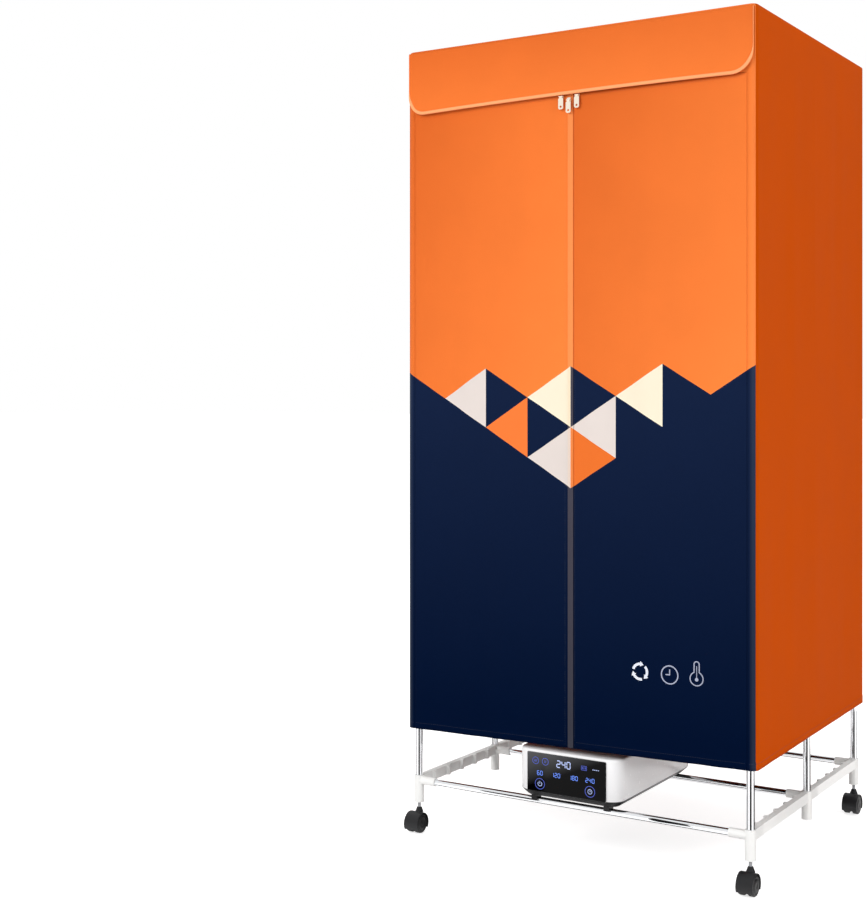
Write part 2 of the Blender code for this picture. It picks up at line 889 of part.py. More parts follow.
def heater_base(root):
    """The black tray under the heater, with its four feet and the air intake in its floor."""
    rings = [
        ring(heater_outline(tray_chamfer), tray_bottom),
        ring(heater_outline(0), tray_top),
        ring(heater_outline(tray_wall), tray_top),
        ring(heater_outline(tray_chamfer + tray_wall), tray_floor),
    ]
    thing = add("heater_base", solid_from_rings(rings), heater_black())
    places = [(across, row) for across in (-1, 1) for row in ("front", "middle")]
    feet = [foot(heater_centre_x + across * foot_centre_x, post_rows[row]) for across, row in places]
    join(thing, feet)
    slots = []
    for i in range(intake_slots):
        x = heater_centre_x + (i - (intake_slots - 1) / 2) * intake_slot_pitch
        low = (x - intake_slot_width / 2, hood_y - intake_slot_length / 2, tray_bottom - cut_overrun)
        high = (x + intake_slot_width / 2, hood_y + intake_slot_length / 2, tray_floor + cut_overrun)
        slots.append(box(low, high))
    cut(thing, slots)
    thing.parent = root
    return thing


def collar_outline(inset):
    """Plan of the collar under the hood."""
    width = collar_width - 2 * inset
    depth = collar_depth - 2 * inset
    return rounded_rectangle(width, depth, collar_corner_radius, body_corner_steps, hood_centre)


def heater_body(root):
    """The white housing: a rounded shell open below, with a collar and an outlet under the hood."""
    outlet_width = collar_width - 2 * outlet_rim
    outlet_depth = collar_depth - 2 * outlet_rim
    outlet = rounded_rectangle(
        outlet_width, outlet_depth, outlet_corner_radius, body_corner_steps, hood_centre
    )
    rings = [ring(heater_outline(0), body_bottom)]
    for step in range(body_edge_steps + 1):
        angle = math.pi / 2 * step / body_edge_steps
        inset = body_edge_radius * (1 - math.cos(angle))
        height = body_top - body_edge_radius * (1 - math.sin(angle))
        rings.append(ring(heater_outline(inset), height))
    rings.append(ring(collar_outline(-collar_taper), body_top))
    rings.append(ring(collar_outline(0), collar_top))
    rings.append(ring(outlet, collar_top))
    rings.append(ring(outlet, collar_top - body_wall))
    rings.append(ring(collar_outline(body_wall), collar_top - body_wall))
    rings.append(ring(collar_outline(body_wall - collar_taper), body_top - body_wall))
    rings.append(ring(heater_outline(body_wall), body_top - body_wall))
    rings.append(ring(heater_outline(body_wall), body_bottom))
    thing = add("heater_body", solid_from_rings(rings, closed=True), heater_white())
    half = inlet_width / 2 + seat_gap
    base = inlet_bottom() - seat_gap
    low = (heater_centre_x - half, heater_rear - body_wall - cut_overrun, base)
    high = (heater_centre_x + half, heater_rear + cut_overrun, base + inlet_height + 2 * seat_gap)
    cut(thing, [box(low, high)])
    thing.parent = root


def inlet_bottom():
    return tray_top + inlet_above_tray


def power_inlet(root):
    """The socket in the back wall: a block through the wall with a flange and a recess."""
    centre = (heater_centre_x, inlet_bottom() + inlet_height / 2)
    flange_y = heater_rear + seat_gap
    outer_y = flange_y + inlet_flange_thickness

    def outline(grow):
        width = inlet_width + 2 * grow
        height = inlet_height + 2 * grow
        return rounded_rectangle(width, height, inlet_corner, cut_corner_steps, centre)

    rings = [
        ring(outline(0), flange_y - inlet_depth, "Y"),
        ring(outline(0), flange_y, "Y"),
        ring(outline(inlet_flange), flange_y, "Y"),
        ring(outline(inlet_flange), outer_y, "Y"),
        ring(outline(-inlet_wall), outer_y, "Y"),
        ring(outline(-inlet_wall), flange_y - inlet_depth + inlet_wall, "Y"),
    ]
    add("power_inlet", solid_from_rings(rings), heater_black()).parent = root


def hood_outline(inset):
    width = hood_width - 2 * inset
    depth = hood_depth - 2 * inset
    return rounded_rectangle(width, depth, hood_chamfer, cut_corner_steps, hood_centre)


def hood_grille(root):
    """The tapered black hood: four walls on a flange, slotted right through for the warm air."""
    rings = [
        ring(hood_outline(-hood_flange), hood_bottom),
        ring(hood_outline(-hood_flange), hood_wall_bottom),
        ring(hood_outline(0), hood_wall_bottom),
        ring(hood_outline(hood_taper), hood_top),
        ring(hood_outline(hood_taper + hood_shell), hood_top),
        ring(hood_outline(hood_shell), hood_bottom),
    ]
    thing = add("hood_grille", solid_from_rings(rings, closed=True), heater_black())
    low_z = hood_wall_bottom + slot_bottom_margin
    high_z = hood_top - slot_top_margin
    slots = []
    for x in slot_places(hood_width, slots_front):
        half = slot_width_share * slot_pitch(hood_width, slots_front) / 2
        reach = hood_depth / 2 + cut_overrun
        low = (heater_centre_x + x - half, hood_y - reach, low_z)
        slots.append(box(low, (heater_centre_x + x + half, hood_y + reach, high_z)))
    for y in slot_places(hood_depth, slots_side):
        half = slot_width_share * slot_pitch(hood_depth, slots_side) / 2
        reach = hood_width / 2 + cut_overrun
        low = (heater_centre_x - reach, hood_y + y - half, low_z)
        slots.append(box(low, (heater_centre_x + reach, hood_y + y + half, high_z)))
    cut(thing, slots)
    thing.parent = root


def slot_pitch(length, count):
    return (length - 2 * hood_taper - 2 * slot_corner_post) / count


def slot_places(length, count):
    """Middles of a wall's slots, from the middle of the wall."""
    return [(i - (count - 1) / 2) * slot_pitch(length, count) for i in range(count)]


def hood_lid(root):
    """The lid: a flared underside, a deep edge with cut corners and a low crown."""
    edge_bottom = lid_bottom + lid_flare_height
    edge_top = edge_bottom + lid_edge_height

    def outline(inset, share=1.0):
        width = (hood_width - 2 * hood_taper + 2 * lid_overhang - 2 * inset) * share
        depth = (hood_depth - 2 * hood_taper + 2 * lid_overhang - 2 * inset) * share
        chamfer = lid_chamfer * share
        return rounded_rectangle(width, depth, chamfer, cut_corner_steps, hood_centre)

    rings = [
        ring(outline(lid_overhang), lid_bottom),
        ring(outline(0), edge_bottom),
        ring(outline(0), edge_top),
        ring(outline(lid_rim), edge_top),
        ring(outline(lid_rim, lid_crown_share), edge_top + lid_dome_height),
    ]
    add("hood_lid", solid_from_rings(rings), heater_black(), lid_smooth_angle).parent = root


def control_panel(root):
    """The glass panel on the heater's front, and its circuit board behind the wall."""
    top = body_top - panel_below_top
    bottom = top - panel_height
    back = heater_front - seat_gap
    half = panel_width / 2
    low = (heater_centre_x - half, back - panel_thickness, bottom)
    glass = box(low, (heater_centre_x + half, back, top))
    add("control_panel", glass, finish("panel glass", (0.012, 0.012, 0.014), 0.08)).parent = root
    inner = heater_front + body_wall + seat_gap
    half -= board_margin
    low = (heater_centre_x - half, inner, bottom + board_margin)
    board = box(low, (heater_centre_x + half, inner + board_thickness, top - board_margin))
    add("control_board", board, circuit_green()).parent = root


def air_duct(root):
    """A round duct from the tray's intake up to the heating element."""
    outer = duct_diameter / 2
    start = tray_floor + seat_gap
    end = element_bottom - seat_gap
    form = pipe(outer, outer - duct_wall, duct_sides, start, end, "Z", hood_centre)
    add("air_duct", form, heater_black()).parent = root


def heating_element(root):
    """A frame of heating fins under the outlet, open from below to above."""
    low = (heater_centre_x - element_width / 2, hood_y - element_depth / 2, element_bottom)
    high = (heater_centre_x + element_width / 2, hood_y + element_depth / 2, element_top)
    thing = add("heating_element", box(low, high), grey_metal())
    bay = (element_width - 2 * element_frame + element_fin) / element_bays
    slots = []
    for i in range(element_bays):
        start = low[0] + element_frame + i * bay
        corner = (start, low[1] + element_frame, element_bottom - cut_overrun)
        far = (start + bay - element_fin, high[1] - element_frame, element_top + cut_overrun)
        slots.append(box(corner, far))
    cut(thing, slots)
    thing.parent = root


def fan_motor(root):
    """The motor on the tray's floor, with its shaft up through the fan."""
    base = tray_floor + seat_gap
    radius = motor_diameter / 2
    shaft_top = motor_top + hub_lift + hub_height + shaft_end
    rings = [
        ring(circle(radius, motor_sides, hood_centre), base),
        ring(circle(radius, motor_sides, hood_centre), motor_top - motor_edge),
        ring(circle(radius - motor_edge, motor_sides, hood_centre), motor_top),
        ring(circle(shaft_diameter / 2, motor_sides, hood_centre), motor_top),
        ring(circle(shaft_diameter / 2, motor_sides, hood_centre), shaft_top),
    ]
    add("fan_motor", solid_from_rings(rings), grey_metal()).parent = root


def fan_blade(turn):
    """A twisted blade from inside the hub out to its tip, flatter towards the tip."""
    root_radius = hub_diameter / 2 - blade_root_sink
    tip_radius = duct_diameter / 2 - duct_wall - blade_tip_gap
    height = motor_top + hub_lift + hub_height / 2
    rings = []
    for step in range(blade_steps + 1):
        share = step / blade_steps
        radius = root_radius + share * (tip_radius - root_radius)
        pitch = math.radians(blade_root_pitch + share * (blade_tip_pitch - blade_root_pitch))
        points = []
        for across, up in ((-1, -1), (1, -1), (1, 1), (-1, 1)):
            chord = across * blade_chord / 2
            rise = up * blade_thickness / 2
            y = chord * math.cos(pitch) - rise * math.sin(pitch)
            z = chord * math.sin(pitch) + rise * math.cos(pitch)
            x_turned = radius * math.cos(turn) - y * math.sin(turn)
            y_turned = radius * math.sin(turn) + y * math.cos(turn)
            points.append((hood_centre[0] + x_turned, hood_centre[1] + y_turned, height + z))
        rings.append(points)
    return solid_from_rings(rings)


def fan_impeller(root):
    """The fan: a bored hub with its blades, turning on the motor's shaft."""
    base = motor_top + hub_lift
    bore = shaft_diameter / 2 + seat_gap
    hub = pipe(hub_diameter / 2, bore, motor_sides, base, base + hub_height, "Z", hood_centre)
    thing = add("fan_impeller", hub, heater_black())
    join(thing, [fan_blade(2 * math.pi * i / blade_count) for i in range(blade_count)])
    pivot_at(thing, (*hood_centre, base))
    thing.parent = root


def heater(root):
    heater_base(root)
    heater_body(root)
    hood_grille(root)
    hood_lid(root)
    control_panel(root)
    power_inlet(root)
    air_duct(root)
    heating_element(root)
    fan_motor(root)
    fan_impeller(root)


def build():
    clear_scene()
    root = bpy.data.objects.new("dryer", None)
    bpy.context.scene.collection.objects.link(root)
    root.location = (0, centre_shift, 0)
    for level in rail_levels:
        for side_name in sides:
            bracket(level, side_name, root)
    rails(root)
    posts(root)
    casters(root)
    front_of_cabinet(root)
    heater(root)


build()
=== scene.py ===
# Looks of the portable clothes dryer: cloth, chrome, plastic and the lit panel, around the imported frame
import math

import bmesh
import bpy
import numpy as np
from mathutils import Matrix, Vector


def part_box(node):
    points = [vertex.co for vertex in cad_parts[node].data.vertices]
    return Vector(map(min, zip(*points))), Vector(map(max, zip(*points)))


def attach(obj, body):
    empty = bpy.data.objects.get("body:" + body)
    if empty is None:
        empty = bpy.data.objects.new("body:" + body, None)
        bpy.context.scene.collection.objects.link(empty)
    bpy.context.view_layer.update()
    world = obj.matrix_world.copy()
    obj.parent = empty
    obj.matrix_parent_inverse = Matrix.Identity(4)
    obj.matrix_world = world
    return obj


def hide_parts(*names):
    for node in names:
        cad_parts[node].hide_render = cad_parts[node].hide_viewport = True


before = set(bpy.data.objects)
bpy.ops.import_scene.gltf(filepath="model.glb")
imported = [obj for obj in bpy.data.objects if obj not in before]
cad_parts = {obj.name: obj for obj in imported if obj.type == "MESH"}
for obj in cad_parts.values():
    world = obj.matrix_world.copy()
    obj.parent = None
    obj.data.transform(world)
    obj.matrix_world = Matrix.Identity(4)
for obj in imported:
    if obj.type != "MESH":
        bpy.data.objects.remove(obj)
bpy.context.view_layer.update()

tau = 2 * math.pi
quarter = math.pi / 2  # a quarter turn


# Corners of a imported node's box, as arrays
def nodeBox(name):
    low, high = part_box(name)
    return np.array(low), np.array(high)


# Separate coordinates, spread to one shape, as one array of points
def joined(*axes):
    return np.stack(np.broadcast_arrays(*axes), axis=-1)


# Steps divided by their own lengths
def unit(steps):
    return steps / np.linalg.norm(steps, axis=-1, keepdims=True)


# Smooth step from 0 at low to 1 at high
def rise(value, low, high):
    share = np.clip((value - low) / (high - low), 0, 1)
    return share * share * (3 - 2 * share)


# Sum of sine waves over (first, second), each with its own length, lean and start
def softWaves(first, second, seed, lengths, height, lean=0.2):
    chance = np.random.default_rng(seed)
    total = np.zeros(np.broadcast(first, second).shape)
    for length in lengths:
        angle = chance.normal(0, lean)
        along = first * math.cos(angle) + second * math.sin(angle)
        total += np.sin(tau * along / length + chance.uniform(0, tau))
    return height * total / math.sqrt(len(lengths))


# Points on a (u, v) grid become vertices and quads; a closed direction joins its last row to its first
def gridPart(points, closeU=False, closeV=False, keep=None):
    index = np.arange(points.shape[0] * points.shape[1]).reshape(points.shape[:2])
    if closeU:
        index = np.vstack([index, index[:1]])
    if closeV:
        index = np.hstack([index, index[:, :1]])
    quads = joined(index[:-1, :-1], index[1:, :-1], index[1:, 1:], index[:-1, 1:])
    quads = quads.reshape(-1, 4) if keep is None else quads[keep]
    return points.reshape(-1, 3), quads


# A profile of (place along the axis, radius) turned round the axis through the given centre
def turnedPart(profile, centre, axis, sides, closed=False):
    along, radius = np.asarray(profile, float).T[..., None]
    angle = np.arange(sides) * tau / sides
    parts = {axis: along, (axis + 1) % 3: radius * np.cos(angle), (axis + 2) % 3: radius * np.sin(angle)}
    return gridPart(joined(*[parts[i] + centre[i] for i in range(3)]), closeU=closed, closeV=True)


# A round or flat section carried along a path, with a half-round nose at both ends; its width and
# depth may change from point to point
def carriedPart(path, width, depth, sides, across=(0, 1, 0), noses=3):
    last = len(path) - 1
    width, depth = np.broadcast_to(width, last + 1), np.broadcast_to(depth, last + 1)
    ahead = unit(np.gradient(path, axis=0))
    second = unit(np.cross(ahead, across))
    first = np.cross(second, ahead)
    turn = np.linspace(0, quarter, noses + 1)
    size = np.concatenate([np.sin(turn), np.ones(last - 1), np.cos(turn)])
    row = np.concatenate([np.zeros(noses + 1, int), np.arange(1, last), np.full(noses + 1, last)])
    reach = np.concatenate([-np.cos(turn), np.zeros(last - 1), np.sin(turn)]) * width[row] / 2
    angle = np.arange(sides) * tau / sides
    ringA = np.cos(angle)[None, :, None] * (first * depth[:, None] / 2)[row][:, None]
    ringB = np.sin(angle)[None, :, None] * (second * width[:, None] / 2)[row][:, None]
    points = (path[row] + ahead[row] * reach[:, None])[:, None] + (ringA + ringB) * size[:, None, None]
    return gridPart(points, closeV=True)


# A ribbon of the given width drawn over a sheet: flat (x, z) points, with the sheet's own y
def ribbonPart(line, width, sheetY, lift, closed=False):
    step = np.roll(line, -1, axis=0) - np.roll(line, 1, axis=0) if closed else np.gradient(line, axis=0)
    step = unit(step)
    side = joined(-step[:, 1], step[:, 0]) * width / 2
    x, z = np.stack([line - side, line + side], axis=1).transpose(2, 0, 1)
    y = sheetY(x, z) - lift
    loop = np.concatenate([joined(x, y, z), joined(x, y + lift * 0.8, z)[:, ::-1]], axis=1)
    return gridPart(loop, closeU=closed, closeV=True)


# Flat (x, z) points on part of a circle
def circleLine(x, z, radius, start=0.0, end=tau, count=40):
    angle = np.linspace(start, end, count)
    return joined(x + radius * np.cos(angle), z + radius * np.sin(angle))


# Flat (x, z) points along straight runs, count points to a run
def straightLine(points, count=8):
    points = np.asarray(points, float)
    share = np.linspace(0, 1, count)[:, None]
    runs = [start + (end - start) * share for start, end in zip(points, points[1:])]
    return np.concatenate([runs[0]] + [run[1:] for run in runs[1:]])


def addObject(name, data):
    thing = bpy.data.objects.new(name, data)
    bpy.context.scene.collection.objects.link(thing)
    return thing


# Writes the form into the mesh, shades it, hangs it under its body's empty, and hides the imported parts it
# stands for
def placePiece(name, mesh, form, finish, body, stands, sharpAngle):
    form.to_mesh(mesh)
    form.free()
    mesh.shade_smooth()
    mesh.set_sharp_from_angle(angle=math.radians(sharpAngle))
    mesh.materials.clear()
    mesh.materials.append(finish)
    thing = addObject(name, mesh)
    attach(thing, body)
    if stands:
        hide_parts(*stands)
    return thing


# Makes one object from parts, merges their seams, and on a solid closes its ends and turns faces outwards
def makePiece(name, parts, finish, body, stands=(), solid=True, sharpAngle=40):
    starts = np.cumsum([0] + [len(vertices) for vertices, quads in parts])
    vertices = np.concatenate([part[0] for part in parts])
    quads = np.concatenate([part[1] + start for part, start in zip(parts, starts)])
    mesh = bpy.data.meshes.new(name)
    mesh.from_pydata(vertices.tolist(), [], quads.tolist())
    form = bmesh.new()
    form.from_mesh(mesh)
    bmesh.ops.remove_doubles(form, verts=form.verts, dist=1e-6)
    bmesh.ops.dissolve_degenerate(form, edges=form.edges, dist=1e-7)
    if solid:
        loose = [edge for edge in form.edges if edge.is_boundary]
        bmesh.ops.holes_fill(form, edges=loose, sides=0)
        bmesh.ops.recalc_face_normals(form, faces=form.faces)
    return placePiece(name, mesh, form, finish, body, stands, sharpAngle)


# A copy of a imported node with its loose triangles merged, flat faces joined and its edges rounded
def softenedNode(node, finish, body, edge, edgeAngle=40):
    form = bmesh.new()
    form.from_mesh(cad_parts[node].data)
    bmesh.ops.remove_doubles(form, verts=form.verts, dist=1e-5)
    bmesh.ops.dissolve_limit(form, angle_limit=math.radians(1), verts=form.verts, edges=form.edges)
    name = node + "_look"
    thing = placePiece(name, bpy.data.meshes.new(name), form, finish, body, [node], edgeAngle)
    rounding = thing.modifiers.new("rounded edges", "BEVEL")
    rounding.width = edge
    rounding.segments = 2
    rounding.limit_method = "ANGLE"
    rounding.angle_limit = math.radians(edgeAngle)
    rounding.harden_normals = True


# Gives an open sheet its thickness, away from the face that shows
def thicken(thing):
    layer = thing.modifiers.new("cloth wall", "SOLIDIFY")
    layer.thickness = cover["wall"]
    layer.offset = -1
    return thing


# Helpers for a node tree: put adds a node, calc a sum, mix a blend of two colours, and fill sets inputs
def nodeTools(tree):
    def fill(node, inputs):
        for key, value in inputs.items():
            if isinstance(value, bpy.types.NodeSocket):
                tree.links.new(value, node.inputs[key])
            else:
                node.inputs[key].default_value = value
        return node

    def put(kind, inputs=None, **fields):
        node = tree.nodes.new("ShaderNode" + kind)
        for field, value in fields.items():
            setattr(node, field, value)
        return fill(node, inputs or {})

    def calc(operation, *values):
        return put("Math", dict(enumerate(values)), operation=operation).outputs[0]

    def mix(share, first, second):
        node = put("Mix", {"Factor": share}, data_type="RGBA")
        return fill(node, {6: first, 7: second}).outputs[2]

    return put, calc, mix, fill


def newFinish(name):
    material = bpy.data.materials.new(name)
    material.use_nodes = True
    tree = material.node_tree
    return material, tree.nodes["Principled BSDF"], *nodeTools(tree)


# Screen values 0 to 255 as the linear colour that a shader takes
def rgb(red, green, blue):
    share = np.array([red, green, blue]) / 255
    linear = np.where(share <= 0.04045, share / 12.92, ((share + 0.055) / 1.055) ** 2.4)
    return (*[float(value) for value in linear], 1.0)


# A finish with fine moulded or rolled unevenness: noise in the roughness, and a shallow bump. The
# colour is one value or a function of the place; grain is roughness, its spread, scale and height
def grainedFinish(name, colour, grain, gloss=None):
    material, shader, put, calc, mix, fill = newFinish(name)
    roughness, spread, scale, bumpHeight = grain
    place = put("TexCoord").outputs["Object"]
    cloud = put("TexNoise", {"Vector": place, "Scale": scale, "Detail": 4.0}).outputs[0]
    change = calc("MULTIPLY_ADD", cloud, spread, roughness - spread / 2)
    bump = put("Bump", {"Height": cloud, "Distance": bumpHeight, "Strength": 0.6}).outputs[0]
    if callable(colour):
        colour = colour(put, calc, mix, place)
    fill(shader, {"Base Color": colour, "Roughness": change, "Normal": bump, **(gloss or {})})
    return material


coverLow, coverHigh = nodeBox("cover_shell")
halfWidth = coverHigh[0]
frontY, backY = coverLow[1], coverHigh[1]
middleY = (frontY + backY) / 2
hemZ, topZ = coverLow[2], coverHigh[2]
doorTop = nodeBox("door_left")[1][2]
hingeX = 0.334
flapLow, flapHigh = nodeBox("storm_flap")
zipLow, zipHigh = nodeBox("centre_zip")
nodeNames = sorted(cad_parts)

clothPrint = {
    "unit": 0.0890,  # width of one triangle
    "middleX": 0.002,
    "peakZ": 0.8932,
    "tilt": 0.016,  # the print climbs a little towards the right
    "level": 0.0549,  # height of half a triangle
    "orangeLow": rgb(216, 100, 40),
    "orangeHigh": rgb(255, 134, 62),
    "orangeMiddle": rgb(248, 126, 60),
    "orangeDeep": rgb(236, 116, 48),
    # darker, deeper orange of the sides, back and top: painted shade of the sides
    "sideOrange": rgb(198, 76, 2),
    "navyLow": rgb(2, 16, 44),
    "navyHigh": rgb(20, 33, 62),
    "edge": {"inset": 0.013, "width": 0.008, "share": 0.035},  # painted highlight along the rolled corners
    "highlightOnOrange": (0.62, 0.78, 0.42, 1.0),
    "highlightOnNavy": (0.62, 0.78, 0.98, 1.0),
    "cream": rgb(247, 236, 211),
    "chalk": rgb(227, 216, 210),
    "tape": (1.0, 0.80, 0.62, 1.0),
    "piping": rgb(255, 176, 122),
    "thread": rgb(235, 230, 235),
    "leftHalves": {2: "chalk", 4: "cream", 5: "orangeMiddle", 6: "cream", 7: "chalk", 8: "chalk"},
    "rightHalves": {8: "orangeDeep"},
    "turnsCorner": 0.0045,  # how far the print goes round the cover's corners
}


# The print as a colour of (x, z): orange above a zigzag, navy below a wide V, and diamonds cut in
# halves between them, numbered by the two slanting directions g + m and m - g. The orange grows
# lighter to the right, once over each of the given number of panels, and lighter downwards: painted
# shade of each panel's bulge. The navy grows lighter upwards
def printColour(put, calc, mix, place, panels=2, seamX=0.0):
    look = clothPrint
    x, y, z = put("SeparateXYZ", {0: place}).outputs
    g = calc("DIVIDE", calc("SUBTRACT", x, look["middleX"]), look["unit"])
    peak = calc("MULTIPLY_ADD", x, look["tilt"], look["peakZ"])
    m = calc("DIVIDE", calc("SUBTRACT", peak, z), look["level"])
    fromSeam = calc("SUBTRACT", x, seamX)
    # Painted shade: the orange grows lighter across each panel and downwards, for the panels' bulge
    panelShare = calc("FRACT", calc("MULTIPLY_ADD", fromSeam, panels / (2 * halfWidth), 3 - panels / 2))
    lower = calc("MULTIPLY_ADD", calc("SUBTRACT", float(doorTop), z), 0.8, 0.01)
    orange = mix(calc("MULTIPLY_ADD", panelShare, 0.57, lower), look["orangeLow"], look["orangeHigh"])
    navy = mix(calc("DIVIDE", calc("SUBTRACT", z, 0.25), 0.6), look["navyLow"], look["navyHigh"])
    first = calc("FLOOR", calc("MULTIPLY", calc("ADD", m, g), 0.5))
    second = calc("FLOOR", calc("MULTIPLY", calc("SUBTRACT", m, g), 0.5))
    number = calc("ADD", calc("MULTIPLY", first, 3.0), second)
    share = calc("DIVIDE", calc("ADD", number, 4.5), 9.0)
    halves = []
    for light in (look["leftHalves"], look["rightHalves"]):
        isLight = put("ValToRGB", {"Fac": share})
        isLight.color_ramp.interpolation = "CONSTANT"
        stops = isLight.color_ramp.elements
        for i in range(9):
            stop = stops[i] if i < 2 else stops.new(i / 9)
            stop.position = i / 9
            stop.color = (*look[light[i]][:3], 1.0) if i in light else (0, 0, 0, 0)
        halves.append(mix(isLight.outputs["Alpha"], navy, isLight.outputs["Color"]))
    rightHalf = calc("GREATER_THAN", g, calc("SUBTRACT", first, second))
    colour = mix(rightHalf, *halves)
    belowV = calc("GREATER_THAN", calc("ADD", m, calc("ABSOLUTE", g)), 4.0)
    aboveZigzag = calc("LESS_THAN", m, calc("PINGPONG", g, 1.0))
    colour = mix(aboveZigzag, mix(belowV, colour, navy), orange)
    # Painted highlight on the rolled corners: a little lighter towards each side edge
    edge = look["edge"]
    beyond = calc("SUBTRACT", calc("ABSOLUTE", x), float(halfWidth - edge["inset"]))
    nearCorner = calc("MAXIMUM", calc("DIVIDE", beyond, edge["width"]), 0.0)
    corner = calc("MULTIPLY", calc("MINIMUM", nearCorner, 1.0), edge["share"])
    return mix(corner, colour, mix(aboveZigzag, look["highlightOnNavy"], look["highlightOnOrange"]))


weave = {
    "pitch": 0.0006, "height": 0.00003, "dye": 0.10, "crease": 0.003,
    "sheen": 0.004, "tint": rgb(255, 190, 150),
}


# Woven cloth: threads both ways as a sum of sines, uneven dye, and soft creases taller than wide
def wovenCloth(name, colourOf, crease=weave["crease"]):
    material, shader, put, calc, mix, fill = newFinish(name)
    place = put("TexCoord").outputs["Object"]
    dye = put("TexNoise", {"Vector": place, "Scale": 9.0, "Detail": 3.0}).outputs[0]
    shade = calc("MULTIPLY_ADD", dye, weave["dye"], 1 - weave["dye"] / 2)
    tinted = put("Mix", {"Factor": 1.0}, data_type="RGBA", blend_type="MULTIPLY")
    fill(tinted, {6: colourOf(put, calc, mix, place), 7: shade})
    scaled = put("VectorMath", {0: place, 3: tau / weave["pitch"]}, operation="SCALE").outputs[0]
    waves = put("VectorMath", {0: scaled}, operation="SINE").outputs[0]
    threads = put("VectorMath", {0: waves, 1: (1.0, 1.0, 1.0)}, operation="DOT_PRODUCT").outputs["Value"]
    bump = put("Bump", {"Height": threads, "Distance": weave["height"], "Strength": 0.5}).outputs[0]
    stretch = put("Mapping", {"Vector": place, "Scale": (7.0, 7.0, 2.2)}).outputs[0]
    cloud = put("TexNoise", {"Vector": stretch, "Scale": 1.6, "Detail": 3.0, "Roughness": 0.45}).outputs[0]
    folds = put("Bump", {"Height": cloud, "Distance": crease, "Strength": 0.35, "Normal": bump}).outputs[0]
    rough = calc("MULTIPLY_ADD", dye, 0.12, 0.56)
    fill(shader, {"Base Color": tinted.outputs[2], "Roughness": rough, "Normal": folds})
    sheen = {"Sheen Weight": weave["sheen"], "Sheen Roughness": 0.4, "Sheen Tint": weave["tint"]}
    fill(shader, {**sheen, "Specular IOR Level": 0.01})
    return material


# The cover: the print on its front, which turns a little round the corners, and elsewhere a plain orange,
# darker than the front's as painted shade of the sides
def sideColour(put, calc, mix, place):
    y = put("SeparateXYZ", {0: place}).outputs[1]
    isFront = calc("LESS_THAN", y, float(frontY + clothPrint["turnsCorner"]))
    return mix(isFront, clothPrint["sideOrange"], printColour(put, calc, mix, place, panels=1))


# The flap grows lighter downwards and to the right: painted shade of its pillowed curve
def flapColour(put, calc, mix, place):
    x, y, z = put("SeparateXYZ", {0: place}).outputs
    down = calc("DIVIDE", calc("SUBTRACT", float(topZ), z), 0.115)
    tone = calc("ADD", calc("MULTIPLY_ADD", down, 0.4, 0.2), calc("MULTIPLY", x, 0.2))
    return mix(tone, clothPrint["orangeLow"], clothPrint["orangeHigh"])


# The zip lets the print behind it through, lightened, and carries the left panel's painted shade across the
# seam
def tapeColour(put, calc, mix, place):
    printed = printColour(put, calc, mix, place, seamX=0.0062)
    eased = put("Gamma", {"Color": printed, "Gamma": 1 / 2.2}).outputs[0]
    return put("Gamma", {"Color": mix(0.22, eased, clothPrint["tape"]), "Gamma": 2.2}).outputs[0]


def pipingColour(put, calc, mix, place):
    return mix(0.85, clothPrint["orangeHigh"], clothPrint["piping"])


def threadColour(put, calc, mix, place):
    return mix(0.05, printColour(put, calc, mix, place), clothPrint["thread"])


coverCloth = wovenCloth("orange cover cloth", sideColour)
printedCloth = wovenCloth("printed front cloth", printColour)
flapCloth = wovenCloth("storm flap cloth", flapColour)
tapeCloth = wovenCloth("zip tape", tapeColour, 0.0)
pipingCloth = wovenCloth("light piping", pipingColour, 0.0)
threadFinish = wovenCloth("stitching thread", threadColour, 0.0)
print("cloth finishes ready")

cover = {
    "wall": 0.0009,
    "cornerRadius": 0.012,
    "frontColumns": 96,
    "sideColumns": 80,
    "backColumns": 84,
    "arcColumns": 7,
    "wallRows": 98,
    "topRows": 40,
    "drawnIn": 0.003,
    "waves": 0.0006,
    "tension": 0.0004,
    "billows": 0.0030,
    "looserFrom": (1.25, 1.5),  # distance round the plan where the right side ends and the back begins
    "zipRecess": 0.0013,
    "zipBand": 0.0104,
    "zipFade": (0.006, 0.013),  # the recess ends this far from the door's hinge
    "topSag": 0.003,
    "edgeRadius": 0.004,
    "hemBand": 0.014,
    "hemStep": 0.0005,
    "hemLow": -0.0034,  # how the hem hangs: its height at the middle of the front, and its two slopes
    "hemSlopes": (0.0157, 0.0172),
    "hemFade": 0.30,
    "seam": 0.0022,
}


# The hem hangs unevenly: a plane over (x, y) that fades out with the height
def hungHeight(x, y, z):
    slopeX, slopeY = cover["hemSlopes"]
    offset = cover["hemLow"] + slopeX * x + slopeY * (y - frontY)
    return z + offset * (1 - rise(z, hemZ, hemZ + cover["hemFade"]))


# How far the hem's doubled band stands proud at this height
def hemProud(z):
    band = cover["hemBand"]
    return cover["hemStep"] * (1 - rise(z, hemZ + band, hemZ + band * 1.12))


